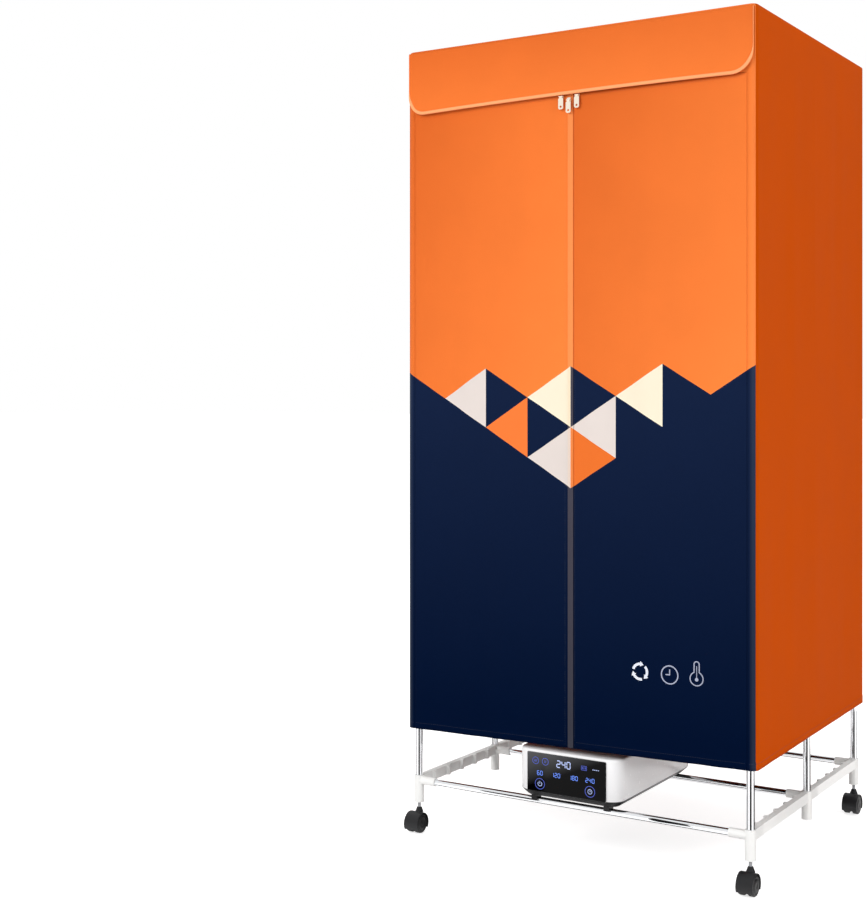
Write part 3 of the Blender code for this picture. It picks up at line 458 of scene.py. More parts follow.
# Plan of the cover: straight runs and quarter circles, with each point's outward direction and how
# far the cloth may be drawn in there, from 0 at the posts to 1 between them
def coverPlan():
    radius = cover["cornerRadius"]
    flatX, flatY = halfWidth - radius, (backY - frontY) / 2 - radius
    runs = []

    def run(*values):
        runs.append(joined(*values))

    def arc(start, x, y):
        angle = start + np.linspace(0, quarter, cover["arcColumns"] + 1)[1:-1]
        run(x + radius * np.cos(angle), y + radius * np.sin(angle), np.cos(angle), np.sin(angle), 0.0)

    share = np.linspace(-1, 1, cover["sideColumns"] + 1)
    backShare = np.linspace(-1, 1, cover["backColumns"] + 1)
    sideSlack = np.abs(np.sin(math.pi * share))
    run(np.linspace(-hingeX, hingeX, cover["frontColumns"] + 1), frontY, 0, -1, 0)
    run([flatX], frontY, 0, -1, 0)
    arc(-quarter, flatX, middleY - flatY)
    run(halfWidth, middleY + share * flatY, 1, 0, sideSlack)
    arc(0, flatX, middleY + flatY)
    run(-backShare * flatX, backY, 0, 1, 1 - backShare**2)
    arc(quarter, -flatX, middleY + flatY)
    run(-halfWidth, middleY - share * flatY, -1, 0, sideSlack)
    arc(math.pi, -flatX, middleY - flatY)
    run([-flatX], frontY, 0, -1, 0)
    return np.concatenate(runs).T


# How far the wall stands out of its plan: drawn in between the posts by a sine of the height, with
# long vertical waves (looser at the back and the left), the hem's band, and a recess for the zip
def wallOut(along, slack, z, underZip):
    postZ = nodeBox("mid_rail_front")[0][2]
    level = np.where(z < postZ, (z - hemZ) / (postZ - hemZ), (z - postZ) / (topZ - postZ))
    free = slack * np.sin(math.pi * np.clip(level, 0, 1))
    waves = softWaves(along, z * 0.22, 4, (0.067, 0.098, 0.14, 0.21), cover["waves"], 0.12)
    tension = softWaves(along * 0.5, z, 9, (0.11, 0.17, 0.26), cover["tension"], 0.5)
    billows = softWaves(along, z * 0.3, 5, (0.15, 0.22, 0.34), cover["billows"], 0.3)
    looser = rise(along, *cover["looserFrom"])
    loose = np.sqrt(np.clip(free + 0.10 * (slack > 0), 0, 1))
    out = ((waves + tension) * (1 + looser) + billows * looser) * loose - cover["drawnIn"] * free
    zipTop = doorTop + cover["zipBand"]
    overDoors = rise(z, doorTop - 0.001, doorTop) * (1 - rise(z, zipTop, zipTop + 0.001))
    return out + hemProud(z) - cover["zipRecess"] * overDoors * underZip


# Distance round the plan at each of its points
def planLength(x, y):
    return np.cumsum(np.hypot(np.diff(x, prepend=x[0]), np.diff(y, prepend=y[0])))


# Walls: the plan carried up from the hem; then a quarter-round edge, and rows that close in to the
# middle of the top, sagging between the rails by a sine of the depth
def coverPart():
    x, y, outX, outY, slack = coverPlan()
    band, radius = cover["hemBand"], cover["edgeRadius"]
    lowRows = hemZ + np.array([0, band * 0.5, band, band * 1.12, band * 1.8])
    wallRows = np.linspace(hemZ + band * 2.8, doorTop + 0.0006, cover["wallRows"])
    zipRows = doorTop + cover["zipBand"] + np.array([0.0, 0.0005, 0.001])
    headRows = np.concatenate([zipRows, np.linspace(zipRows[-1], topZ - radius, 8)[1:]])
    z = np.concatenate([lowRows, wallRows, headRows])[None, :]
    underZip = rise(hingeX - np.abs(x), *cover["zipFade"]) * (outY < 0)
    out = wallOut(planLength(x, y)[:, None], slack[:, None], z, underZip[:, None])
    hung = hungHeight(x[:, None], y[:, None], z)
    wall = joined(x[:, None] + outX[:, None] * out, y[:, None] + outY[:, None] * out, hung)
    turn = np.linspace(0, quarter, 4)[1:, None, None]
    edge = radius * ((np.cos(turn) - 1) * joined(outX, outY, 0.0) + np.sin(turn) * np.array([0, 0, 1.0]))
    rolled = (joined(x, y, topZ - radius) + edge).transpose(1, 0, 2)
    inwards = (np.linspace(0, 1, cover["topRows"])[1:] ** 0.8)[None, :, None]
    rim = rolled[:, -1:, :]
    top = rim + (np.array([0, middleY, topZ]) - rim) * inwards
    x, y, z = top.transpose(2, 0, 1)
    sag = np.abs(np.sin(math.pi * (y - middleY) / ((backY - frontY) / 2))) * (1 - (x / halfWidth) ** 4)
    ripple = softWaves(x, y, 12, (0.06, 0.09, 0.15, 0.2), 0.0004, 1.2)
    top[..., 2] -= cover["topSag"] * sag - ripple * sag
    points = np.concatenate([wall, rolled, top], axis=1)
    keep = np.ones((points.shape[0], points.shape[1] - 1), bool)
    keep[: cover["frontColumns"], : len(lowRows) + len(wallRows) - 1] = False  # the doors close this opening
    return gridPart(points, closeU=True, keep=keep)


coverSheet = [coverPart()]
coverPiece = makePiece("cover_cloth", coverSheet, coverCloth, "root", ["cover_shell"], False)
thicken(coverPiece)
print("cover ready")

door = {
    "columns": 74, "rows": 236,
    "waves": 0.0009, "tension": 0.0005, "pucker": 0.0005, "zipHalf": 0.006,
    "fold": 0.0002,
}


# Outer face of the front: long vertical waves that die out at the hinge, the zip and the top, small
# puckers along the zip, a slight fold in along the hinge, and the hem's band
def frontFace(x, z):
    fromZip = np.abs(x) - door["zipHalf"]
    fromHinge = hingeX - np.abs(x)
    still = rise(fromZip, 0.004, 0.05) * rise(fromHinge, 0.0, 0.03) * rise(doorTop - z, 0.0, 0.09)
    waves = softWaves(x, z * 0.18, 21, (0.061, 0.083, 0.127, 0.19), door["waves"], 0.15)
    tension = softWaves(x * 0.35, z, 23, (0.12, 0.2, 0.31), door["tension"], 0.4)
    out = (waves + tension) * still - door["fold"] * np.exp(-np.abs(fromHinge) / 0.0018)
    near = np.exp(-np.clip(fromZip, 0, 1) / 0.014) * rise(fromZip, 0.0, 0.004)
    out = out - door["pucker"] * near * (1 + np.sin(tau * z / 0.027 + 2 * np.sin(z * 41)))
    return frontY - out - hemProud(z) * rise(fromZip, 0.001, 0.006)


# A panel of the front: columns across, rows closer together at the hem's band
def doorPiece(name, lowX, highX):
    x = np.linspace(lowX, highX, door["columns"] + 1)[:, None]
    band = cover["hemBand"]
    lowRows = hemZ + np.array([0, band * 0.5, band, band * 1.12, band * 1.6])
    z = np.concatenate([lowRows, np.linspace(hemZ + band * 2, doorTop, door["rows"])])[None, :]
    part = gridPart(joined(x, frontFace(x, z), hungHeight(x, frontY, z)))
    return thicken(makePiece(name + "_cloth", [part], printedCloth, name, [name], False))


doorLeft = doorPiece("door_left", -hingeX, float(nodeBox("door_left")[1][0]))
doorRight = doorPiece("door_right", float(nodeBox("door_right")[0][0]), hingeX)
print("front panels ready")

symbols = {
    "stroke": 0.0021, "lift": 0.0003, "radius": 0.0155,
    "places": (0.138, 0.194, 0.2435), "height": 0.3575,
    "airInk": rgb(234, 238, 250),
    "ink": rgb(170, 176, 198),  # the clock and thermometer are greyer
}


# Three plain signs: turning air as three bent arrows, a clock and a thermometer
def symbolParts():
    stroke, height, radius = symbols["stroke"], symbols["height"], symbols["radius"]
    air, clock, heat = symbols["places"]
    parts = []

    def draw(line, width, closed=False):
        parts.append(ribbonPart(line, width, frontFace, symbols["lift"], closed))

    for i in range(3):
        start, end = 2.88 - i * tau / 3, 2.88 - (i + 1) * tau / 3
        draw(circleLine(air, height, radius * 0.86, start, end + 0.75), stroke * 2.2)
        narrowing = (stroke * 4.4 * np.linspace(1, 0, 9) + 0.0002)[:, None]
        draw(circleLine(air, height, radius * 0.86, end + 0.78, end + 0.28, 9), narrowing)
    draw(circleLine(clock, height, radius, count=49)[:-1], stroke, True)
    hands = [(clock, height + radius * 0.62), (clock, height), (clock - radius * 0.5, height)]
    draw(straightLine(hands), stroke * 0.9)
    bulb, neck, wide = height - radius * 0.12, radius * 0.3, radius * 0.76
    lean = math.acos(neck / wide)
    shoulder, top = bulb + wide * math.sin(lean), bulb + radius * 1.6
    outline = np.concatenate([
        circleLine(heat, bulb, wide, math.pi - lean, tau + lean, 44),
        straightLine([(heat + neck, shoulder), (heat + neck, top)])[1:-1],
        circleLine(heat, top, neck, 0, math.pi, 14),
        straightLine([(heat - neck, top), (heat - neck, shoulder)])[1:-1],
    ])
    draw(outline, stroke * 0.85, True)
    draw(circleLine(heat, bulb - radius * 0.1, radius * 0.1, count=17)[:-1], radius * 0.2, True)
    draw(straightLine([(heat, bulb), (heat, top - radius * 0.2)]), stroke * 0.55)
    return parts


def inkColour(put, calc, mix, place):
    x = put("SeparateXYZ", {0: place}).outputs[0]
    isGreyer = calc("GREATER_THAN", x, sum(symbols["places"][:2]) / 2)
    return mix(isGreyer, symbols["airInk"], symbols["ink"])


whiteInk = grainedFinish("white print", inkColour, (0.6, 0.1, 900.0, 0.00002))
symbolPiece = makePiece("printed_symbols", symbolParts(), whiteInk, "door_right")
print("symbols ready")

flap = {
    "corner": 0.038, "belly": 0.0024, "waves": 0.0007, "columns": 90, "rows": 26,
    "piping": 0.006, "pipingDepth": 0.0034, "pipingRows": 70,
    "back": (0.0014, 0.00175),  # the cloth and the piping stand before the flap's back by these
    "hang": (0.0035, -0.0105, 0.030),  # how much lower its edge hangs: level, slope and bend over x
    "standOff": 0.0062,  # its edge stands off the zip sliders by this much, but not at its ends
}


# How much lower the edge hangs at x, as a square polynomial
def flapHang(x):
    level, slope, bend = flap["hang"]
    return level + slope * x + bend * x * x


# Lower edge of the flap: nearly level, then a quarter circle up at each end
def flapEdge(x):
    corner = flap["corner"]
    over = np.clip(np.abs(x) - (flapHigh[0] - corner), 0, corner)
    return flapLow[2] - flapHang(x) + corner - np.sqrt(corner**2 - over**2)


# How far the flap stands off the doors, from its edge (up = 0) to its hinge (up = 1)
def flapStand(x, up=0.0):
    return flap["standOff"] * (1 - np.abs(x / flapHigh[0]) ** 24) * (1 - up) ** 1.6


# The flap: pillowed outwards between its edge and its hinge, with a few long waves
def flapPart():
    half, corner = flapHigh[0], flap["corner"]
    bend = np.sin(np.linspace(0, quarter, 13))[1:] * corner
    flat = np.linspace(corner - half, half - corner, flap["columns"])
    x = np.concatenate([(corner - half - bend)[::-1], flat, half - corner + bend])
    x = np.clip(x, 0.00005 - half, half - 0.00005)[:, None]
    edge = flapEdge(x)
    z = edge + (flapHigh[2] - edge) * np.linspace(0, 1, flap["rows"] + 1)[None, :]
    up = np.clip((z - edge) / (flapHigh[2] - edge), 0, 1)
    across = np.cos(quarter * x / half) ** 0.5
    waves = softWaves(x, z * 0.6, 31, (0.09, 0.13, 0.22, 0.34), flap["waves"], 0.3)
    out = flap["back"][0] + flapStand(x, up) + (flap["belly"] + waves) * np.sin(math.pi * up**0.8) * across
    return gridPart(joined(x, flapHigh[1] - out, z))


# The piping: a flattened round section carried down one side, round both corners and up the other
def pipingPath():
    inset = flap["piping"] / 2
    half, radius = flapHigh[0] - inset, flap["corner"] - inset
    low = flapLow[2] + inset
    angle = np.linspace(0, quarter, 13)
    side = joined(-half, np.linspace(flapHigh[2] - 0.002, low + radius, 12)[:-1])
    bend = joined(radius - half - radius * np.cos(angle), low + radius - radius * np.sin(angle))
    flat = joined(np.linspace(radius - half, half - radius, flap["pipingRows"])[1:-1], low)
    line = np.concatenate([side, bend, flat, bend[::-1] * (-1, 1), side[::-1] * (-1, 1)])
    narrowed = 1 - 0.84 * rise(line[:, 1], low + radius * 0.45, low + radius * 1.3)
    line[:, 0] += np.sign(line[:, 0]) * (1 - narrowed) * inset
    x, z = line.T
    hung = z - flapHang(x) * (flapHigh[2] - z) / (flapHigh[2] - low)
    return joined(x, flapHigh[1] - flap["back"][1] - flapStand(x), hung), narrowed


flapSheet = [flapPart()]
flapPiece = makePiece("storm_flap_cloth", flapSheet, flapCloth, "flap", ["storm_flap"], False)
thicken(flapPiece)
pipingLine, narrowed = pipingPath()
pipingPart = carriedPart(pipingLine, flap["piping"] * narrowed, flap["pipingDepth"] * narrowed**0.5, 12)
pipingPiece = makePiece("flap_piping", [pipingPart], pipingCloth, "flap")
print("storm flap ready")


# A cord in each upright corner, at the middle of the corner's arc
def cornerSeams():
    z = np.linspace(hemZ + 0.001, topZ - 0.006, 60)
    turn = cover["cornerRadius"] * (1 - math.sqrt(0.5))
    parts = []
    for side in (-1, 1):
        for y, along in ((frontY, 1), (backY, -1)):
            line = joined(side * (halfWidth - turn), y + along * turn, hungHeight(side * halfWidth, y, z))
            parts.append(carriedPart(line, cover["seam"], cover["seam"], 8, across=(1, 0, 0)))
    return parts


seamPiece = makePiece("corner_seams", cornerSeams(), coverCloth, "root")

zipper = {
    "half": 0.0055, "shift": 0.0014,
    "topHalf": 0.0045, "topUp": 0.0055, "topFrom": 0.004, "topEnd": 0.014,
    "tape": 0.00042, "coil": 0.00062, "rib": 0.0027, "perRib": 3,
}


# The zip: a flat tape with a ribbed coil down its middle; height over the back is the tape's plus a
# rounded hump across, pinched once every rib along
def zipPart(startAt, endAt, backY, half):
    ribs, perRib = int((endAt - startAt) / zipper["rib"]), zipper["perRib"]
    along = np.linspace(startAt, endAt, ribs * perRib + 1)[:, None]
    across = np.array([-1, -0.96, -0.5, -0.46, -0.42, -0.3, -0.15, 0, 0.15, 0.3, 0.42, 0.46, 0.5, 0.96, 1])
    hump = np.sqrt(np.clip(1 - (across / 0.42) ** 2, 0, 1))
    edge = np.where(np.abs(across) > 0.99, 0.0, 1.0)
    rib = 0.75 + 0.25 * np.cos(tau * np.arange(ribs * perRib + 1) / perRib)[:, None]
    groove = 1 - 0.35 * np.exp(-((across / 0.07) ** 2))
    height = zipper["tape"] * edge + zipper["coil"] * hump * rib * groove
    front = joined(across * half, backY - height, along)
    back = front[:, ::-1].copy()
    back[..., 1] = backY
    return np.concatenate([front, back[:, 1:-1]], axis=1)


x, y, z = zipPart(zipLow[2] + 0.0006, zipHigh[2], zipHigh[1], zipper["half"]).transpose(2, 0, 1)
zipParts = [gridPart(joined(x + zipper["shift"], y, hungHeight(0, frontY, z)), closeV=True)]
zipPiece = makePiece("zip_coil_and_tape", zipParts, tapeCloth, "door_left", ["centre_zip"])
topZips = []
topBack = frontY + cover["zipRecess"] - 0.0001
topZip = zipPart(zipper["topFrom"], hingeX - zipper["topEnd"], topBack, zipper["topHalf"])
z, y, x = topZip.transpose(2, 0, 1)
for side in (-1, 1):
    topZips.append(gridPart(joined(x * side, y, z * side + doorTop + zipper["topUp"]), closeV=True))
topZipPiece = makePiece("top_zip_coils", topZips, tapeCloth, "root")
print("seams and zip ready")

stitch = {
    "pitch": 0.0042, "length": 0.0030, "width": 0.0006, "lift": 0.0001,
    "fromHem": 0.0115, "fromZip": 0.0098, "fromTop": 0.006, "fromHinge": 0.002,
}


# Stitches: along a line, every pitch, a lozenge of five rings of six points, thickest in its middle
def stitchPart(line, out):
    length = np.concatenate([[0], np.cumsum(np.linalg.norm(np.diff(line, axis=0), axis=1))])
    places = np.arange(stitch["pitch"] * 0.7, length[-1] - stitch["length"], stitch["pitch"])

    def at(table, distance):
        return joined(*[np.interp(distance, length, column) for column in table.T])

    start = at(line, places)
    ahead = (at(line, places + stitch["length"]) - start) / stitch["length"]
    normal = at(np.broadcast_to(out, line.shape), places + stitch["length"] / 2)
    sideways = np.cross(ahead, normal)
    angle = np.arange(6) * tau / 6
    share = np.array([0, 0.2, 0.5, 0.8, 1])[None, :, None, None]
    girth = (np.array([0, 0.85, 1, 0.85, 0]) * stitch["width"] / 2)[None, :, None, None]
    ring = sideways[:, None, None] * np.cos(angle)[:, None]
    ring = ring + 0.7 * normal[:, None, None] * np.sin(angle)[:, None]
    points = start[:, None, None] + ahead[:, None, None] * share * stitch["length"] + ring * girth
    cells = np.arange(len(places) * 30).reshape(-1, 5, 6)
    turned = np.roll(cells, -1, axis=2)
    quads = joined(cells[:, :-1], cells[:, 1:], turned[:, 1:], turned[:, :-1]).reshape(-1, 4)
    return points.reshape(-1, 3), quads


# Seam line round the cover near its hem, from one door to the other
def coverHemLine():
    plan = coverPlan()
    x, y, outX, outY, slack = np.column_stack([plan, plan[:, 0]])
    z = hemZ + stitch["fromHem"]
    out = wallOut(planLength(x, y), slack, z, 0.0) + stitch["lift"]
    line = joined(x + outX * out, y + outY * out, hungHeight(x, y, z))
    return line[cover["frontColumns"] :], joined(outX, outY, 0.0)[cover["frontColumns"] :]


# Points just before a panel's face
def doorLine(x, z):
    return joined(x, frontFace(x, z) - stitch["lift"], hungHeight(x, frontY, z))


coverStitches = makePiece("hem_stitches", [stitchPart(*coverHemLine())], threadFinish, "root")
for name, side in (("door_left", -1), ("door_right", 1)):
    lastX = hingeX - stitch["fromHinge"]
    lines = [
        doorLine(side * np.linspace(0.010, lastX, 60), hemZ + stitch["fromHem"]),
        doorLine(side * stitch["fromZip"], np.linspace(hemZ + 0.002, doorTop - 0.014, 300)),
        doorLine(side * np.linspace(0.026, lastX, 60), doorTop - stitch["fromTop"]),
    ]
    parts = [stitchPart(line, np.array([0.0, -1.0, 0.0])) for line in lines]
    makePiece(name + "_stitches", parts, threadFinish, name)
print("stitching ready")

metal = {"Metallic": 1.0}
chromePlate = grainedFinish("chrome plate", (0.80, 0.81, 0.83, 1.0), (0.09, 0.05, 60.0, 0.00001), metal)
nickelPlate = grainedFinish("nickel plate", (0.93, 0.83, 0.69, 1.0), (0.30, 0.1, 700.0, 0.00002), metal)

tube = {"wall": 0.0008, "lip": 0.0003, "sleeve": 0.004, "sides": 32}


# A tube: outer wall, rounded lip, inner wall and lip again, turned round its own axis
def tubePiece(node):
    low, high = nodeBox(node)
    size = high - low
    axis = int(np.argmax(size))
    radius = float(sorted(size)[1]) / 2
    inner, lip, sleeve = radius - tube["wall"], tube["lip"], tube["sleeve"]
    start, end = low[axis], high[axis]
    profile = [
        (start, inner + lip), (start, radius - lip), (start + lip, radius), (start + sleeve, radius),
        (end - sleeve, radius), (end - lip, radius), (end, radius - lip), (end, inner + lip),
        (end - lip, inner), (start + lip, inner),
    ]
    centre = (low + high) / 2
    centre[axis] = 0
    part = turnedPart(profile, centre, axis, tube["sides"], closed=True)
    makePiece(node + "_tube", [part], chromePlate, "root", [node])


for nodeName in nodeNames:
    if "post" in nodeName or "_rail_" in nodeName:
        tubePiece(nodeName)
print("tubes ready")

whitePlastic = grainedFinish(
    "moulded white plastic", rgb(251, 251, 249), (0.36, 0.12, 420.0, 0.00003), {"Specular IOR Level": 0.4}
)
for nodeName in nodeNames:
    if "bracket" in nodeName:
        softenedNode(nodeName, whitePlastic, "root", 0.0006)
print("brackets ready")

caster = {
    "near": 0.004, "far": 0.0145, "radius": 0.018, "axle": 0.0025, "edge": 0.003, "groove": 0.0004,
    "sides": 44,
    "stemZ": 0.0466,  # above this the hood's plastic gives way to the stem's metal
    "hood": rgb(32, 32, 34), "stem": rgb(168, 170, 174), "tread": rgb(24, 24, 26), "dust": rgb(48, 47, 47),
}


def hoodColour(put, calc, mix, place):
    z = put("SeparateXYZ", {0: place}).outputs[2]
    return mix(calc("GREATER_THAN", z, caster["stemZ"]), caster["hood"], caster["stem"])


def treadColour(put, calc, mix, place):
    dust = put("TexNoise", {"Vector": place, "Scale": 260.0, "Detail": 5.0}).outputs[0]
    return mix(calc("MULTIPLY", dust, 0.5), caster["tread"], caster["dust"])


dull = {"Specular IOR Level": 0.3}
hoodPlastic = grainedFinish("dark grey caster plastic", hoodColour, (0.45, 0.15, 500.0, 0.00004), dull)
treadPlastic = grainedFinish("dark wheel plastic", treadColour, (0.5, 0.2, 300.0, 0.00005), dull)


# Twin wheels: one wheel's section, from its bore over the tread with a shallow groove to a domed
# outer face, turned round the axle, and the same mirrored
def wheelParts(centre):
    near, far, radius, edge = [caster[name] for name in ("near", "far", "radius", "edge")]
    floor = radius - caster["groove"]
    turn = np.linspace(0, quarter, 6)
    rounding = edge * 0.5
    profile = np.concatenate([
        [(0.0, caster["axle"]), (near, caster["axle"]), (near, radius * 0.55), (near, radius - edge)],
        joined(near + rounding * (1 - np.sin(turn)), radius - rounding * (1 - np.cos(turn))),
        [(near + 0.0038, radius), (near + 0.0042, floor), (near + 0.0050, floor), (near + 0.0054, radius)],
        joined(far - edge * (1 - np.sin(turn)), radius - edge * (1 - np.cos(turn))),
        [(far - 0.0006, radius * 0.74), (far - 0.0010, radius * 0.70), (far + 0.0002, radius * 0.62)],
        [(far + 0.0006, radius * 0.40), (far + 0.0006, radius * 0.24), (far, radius * 0.2), (far, 0.0)],
    ])
    return [turnedPart(profile * (side, 1), centre, 0, caster["sides"]) for side in (-1, 1)]


for nodeName in nodeNames:
    if nodeName.endswith("_wheels"):
        middle = sum(nodeBox(nodeName)) / 2
        middle[2] = caster["radius"]
        makePiece(nodeName + "_look", wheelParts(middle), treadPlastic, nodeName, [nodeName])
    if nodeName.endswith("_housing"):
        softenedNode(nodeName, hoodPlastic, nodeName[: -len("_housing")], 0.0009)
print("casters ready")

for nodeName in nodeNames:
    if nodeName.startswith(("zip_slider_", "zip_pull_")):
        softenedNode(nodeName, nickelPlate, nodeName[len("zip_"):], 0.0002)
print("sliders and pulls ready")

heater = {
    "corner": 0.028, "edge": 0.004, "wall": 0.0025, "columns": 12,
    "collarRise": 0.0115, "ledge": 0.0025, "outlet": 0.034,
    "collar": [  # how far each ring stands out, its height, and whether that is from the collar's top
        (0.0062, 0, False), (0.0044, 0.0004, False), (0.0034, 0.0016, False),
        (0.0012, -0.0015, True), (0.0006, -0.0004, True), (-0.0008, 0, True),
    ],
    "blackEdges": {"heater_base": 0.0006, "hood_grille": 0.0003, "hood_lid": 0.0008, "power_inlet": 0.0004},
}
glossWhite = grainedFinish("white heater housing", rgb(250, 250, 251), (0.26, 0.08, 160.0, 0.000006))
satinBlack = grainedFinish(
    "black heater plastic", rgb(20, 20, 22), (0.40, 0.14, 600.0, 0.00003), {"Specular IOR Level": 0.28}
)


# A rectangle with quarter-round corners, as points round it with the same count for every size
def roundedPlan(low, high, radius):
    runs = []
    for turn, (cornerX, cornerY) in enumerate(((1, 1), (0, 1), (0, 0), (1, 0))):
        x = high[0] - radius if cornerX else low[0] + radius
        y = high[1] - radius if cornerY else low[1] + radius
        runs.append(circleLine(x, y, radius, turn * quarter, (turn + 1) * quarter, heater["columns"] + 1))
    return np.concatenate(runs)


# The housing: the rounded plan carried up, a quarter-round top edge, the flat top closing in to the
# collar with a small hollow at its foot, the collar with a rounded rim, and the outlet inside it
def heaterBody():
    low, high = nodeBox("heater_body")
    hoodLow, hoodHigh = nodeBox("hood_grille")
    edge, wall, corner = heater["edge"], heater["wall"], heater["corner"]
    top = high[2]
    bodyTop = top - heater["collarRise"]
    rings = []

    def ring(plan, inset, radius, z):
        rings.append(joined(*roundedPlan(plan[0][:2] + inset, plan[1][:2] - inset, radius).T, z))

    body, hood = (low, high), (hoodLow, hoodHigh)
    turn = np.linspace(0, quarter, 7)[1:]
    rows = [(0.0006, low[2]), (0.0, low[2] + 0.0006), (0.0, bodyTop - edge)]
    for inset, z in rows + [(edge * (1 - math.cos(a)), bodyTop - edge + edge * math.sin(a)) for a in turn]:
        ring(body, inset, corner - inset, z)
    for grow, z, fromTop in heater["collar"]:
        ring(hood, -heater["ledge"] - grow, 0.010 + grow, z + (top if fromTop else bodyTop))
    rim = heater["outlet"] - heater["ledge"]
    ring(hood, rim, 0.006, top)
    ring(hood, rim, 0.006, top - wall)
    ring(hood, 0.0, 0.008, top - wall)
    ring(hood, -0.002, 0.008, bodyTop - wall)
    ring(body, wall, corner - wall, bodyTop - wall)
    ring(body, wall, corner - wall, low[2])
    return gridPart(np.stack(rings, axis=1), closeU=True, closeV=True)


housing = [heaterBody()]
makePiece("heater_housing", housing, glossWhite, "heater", ["heater_body"], sharpAngle=50)
for nodeName, edge in heater["blackEdges"].items():
    softenedNode(nodeName, satinBlack, "heater", edge, 12 if nodeName == "hood_lid" else 34)
print("heater housing ready")

panel = {
    "corner": 0.0015, "edge": 0.0004, "lift": 0.00012,
    "black": rgb(3, 3, 4), "paintedReflection": rgb(92, 93, 96),
    "rowBig": 0.22, "rowDigits": 0.52, "rowRings": 0.80,
    "digits": {"60": 0.165, "120": 0.37, "180": 0.595, "240": 0.805},
    "digitHeight": 0.0074, "bigHeight": 0.0118, "ringRadius": 0.0096, "stroke": 0.0009,
    "lights": {  # colour, strength and the piece it lights
        "blue": (rgb(96, 140, 255), 1.2, "panel_figures"),
        "pale": (rgb(190, 206, 255), 1.1, "panel_main_figures"),
        "dim": (rgb(70, 90, 215), 0.9, "panel_rings"),
    },
}
panelLow, panelHigh = nodeBox("control_panel")
panelSize = panelHigh - panelLow


# Black glass with a painted reflection: a pale diagonal towards its upper left corner
def glassColour(put, calc, mix, place):
    x, y, z = put("SeparateXYZ", {0: place}).outputs
    across = calc("DIVIDE", calc("SUBTRACT", x, float(panelLow[0])), float(panelSize[0]))
    up = calc("DIVIDE", calc("SUBTRACT", z, float(panelLow[2])), float(panelSize[2]))
    paintedReflection = calc("MAXIMUM", calc("SUBTRACT", calc("MULTIPLY_ADD", up, 1.1, -0.1), across), 0.0)
    return mix(calc("MINIMUM", paintedReflection, 1.0), panel["black"], panel["paintedReflection"])


glassBlack = grainedFinish(
    "black panel glass", glassColour, (0.10, 0.05, 90.0, 0.000004), {"Specular IOR Level": 0.08}
)


# A glass plate: the rounded outline carried from back to front, with a small rounded front edge
def glassPlate():
    edge = panel["edge"]
    turn = np.linspace(0, quarter, 4)
    rings = [(0.0, panelHigh[1])]
    rings += [(edge * (1 - math.cos(a)), panelLow[1] + edge * (1 - math.sin(a))) for a in turn]
    plates = []
    for inset, y in rings:
        x, z = roundedPlan(panelLow[[0, 2]] + inset, panelHigh[[0, 2]] - inset, panel["corner"]).T
        plates.append(joined(x, y, z))
    return gridPart(np.stack(plates, axis=1), closeU=True)


makePiece("panel_glass", [glassPlate()], glassBlack, "heater", ["control_panel"])
lit = {tone: [] for tone in panel["lights"]}


def panelFace(x, z):
    return np.full(np.broadcast(x, z).shape, panelLow[1])


def panelPoint(acrossShare, downShare):
    return panelLow[0] + acrossShare * panelSize[0], panelHigh[2] - downShare * panelSize[2]


# Adds one lit line to a tone, with points given from a centre
def panelLine(tone, centre, points, width, count=4):
    line = straightLine(np.array(points) + centre, count)
    lit[tone].append(ribbonPart(line, width, panelFace, panel["lift"]))


def panelRing(tone, centre, radius, width, count=49):
    line = circleLine(*centre, radius, count=count)[:-1]
    lit[tone].append(ribbonPart(line, width, panelFace, panel["lift"], True))


# Seven bars to a digit, lit in the usual pattern; each bar is a short ribbon
def panelDigits(tone, text, acrossShare, downShare, height):
    bars = {"0": "abcdef", "1": "bc", "2": "abged", "4": "fgbc", "6": "afgecd", "8": "abcdefg"}
    ends = {
        "a": ((0, 1), (1, 1)), "b": ((1, 1), (1, 0.5)), "c": ((1, 0.5), (1, 0)), "d": ((0, 0), (1, 0)),
        "e": ((0, 0.5), (0, 0)), "f": ((0, 1), (0, 0.5)), "g": ((0, 0.5), (1, 0.5)),
    }
    width, pitch = height * 0.56, height * 0.86
    x, z = panelPoint(acrossShare, downShare)
    for place, figure in enumerate(text):
        left = x + (place - (len(text) - 1) / 2) * pitch - width / 2
        for bar in bars[figure]:
            line = (np.array(ends[bar]) - (0, 0.5)) * (width, height)
            inwards = (line[1] - line[0]) * 0.09
            panelLine(tone, (left, z), [line[0] + inwards, line[1] - inwards], height * 0.13, 3)


for text, share in panel["digits"].items():
    panelDigits("blue", text, share, panel["rowDigits"], panel["digitHeight"])
panelDigits("pale", "240", 0.47, panel["rowBig"], panel["bigHeight"])
reach = panel["ringRadius"] * 0.42
power, clock = panelPoint(0.165, panel["rowRings"]), panelPoint(0.805, panel["rowRings"])
for centre in (power, clock):
    panelRing("dim", centre, panel["ringRadius"], panel["stroke"])
arc = circleLine(*power, reach, math.radians(130), math.radians(410), 24)
lit["pale"].append(ribbonPart(arc, 0.0009, panelFace, panel["lift"]))
panelLine("pale", power, [(0, 0), (0, reach * 1.25)], 0.0009)
panelRing("pale", clock, reach, 0.0008, 33)
panelLine("pale", clock, [(0, reach * 0.7), (0, 0), (reach * 0.55, 0)], 0.0007)
for share, bars in {0.11: (-1, 0, 1), 0.235: (-0.5, 0.5)}.items():
    centre = panelPoint(share, panel["rowBig"] * 0.95)
    panelRing("dim", centre, 0.0062, 0.0008)
    for i in bars:
        panelLine("dim", centre, [(i * 0.0022 - 0.0006, -0.0022), (i * 0.0022 + 0.0006, 0.0022)], 0.0007)
centre = panelPoint(0.73, panel["rowBig"] * 1.02)
box = np.array([(-1, -1), (1, -1), (1, 1), (-1, 1), (-1, -1)]) * (0.0052, 0.0036)
panelLine("dim", centre, box, 0.0007, 8)
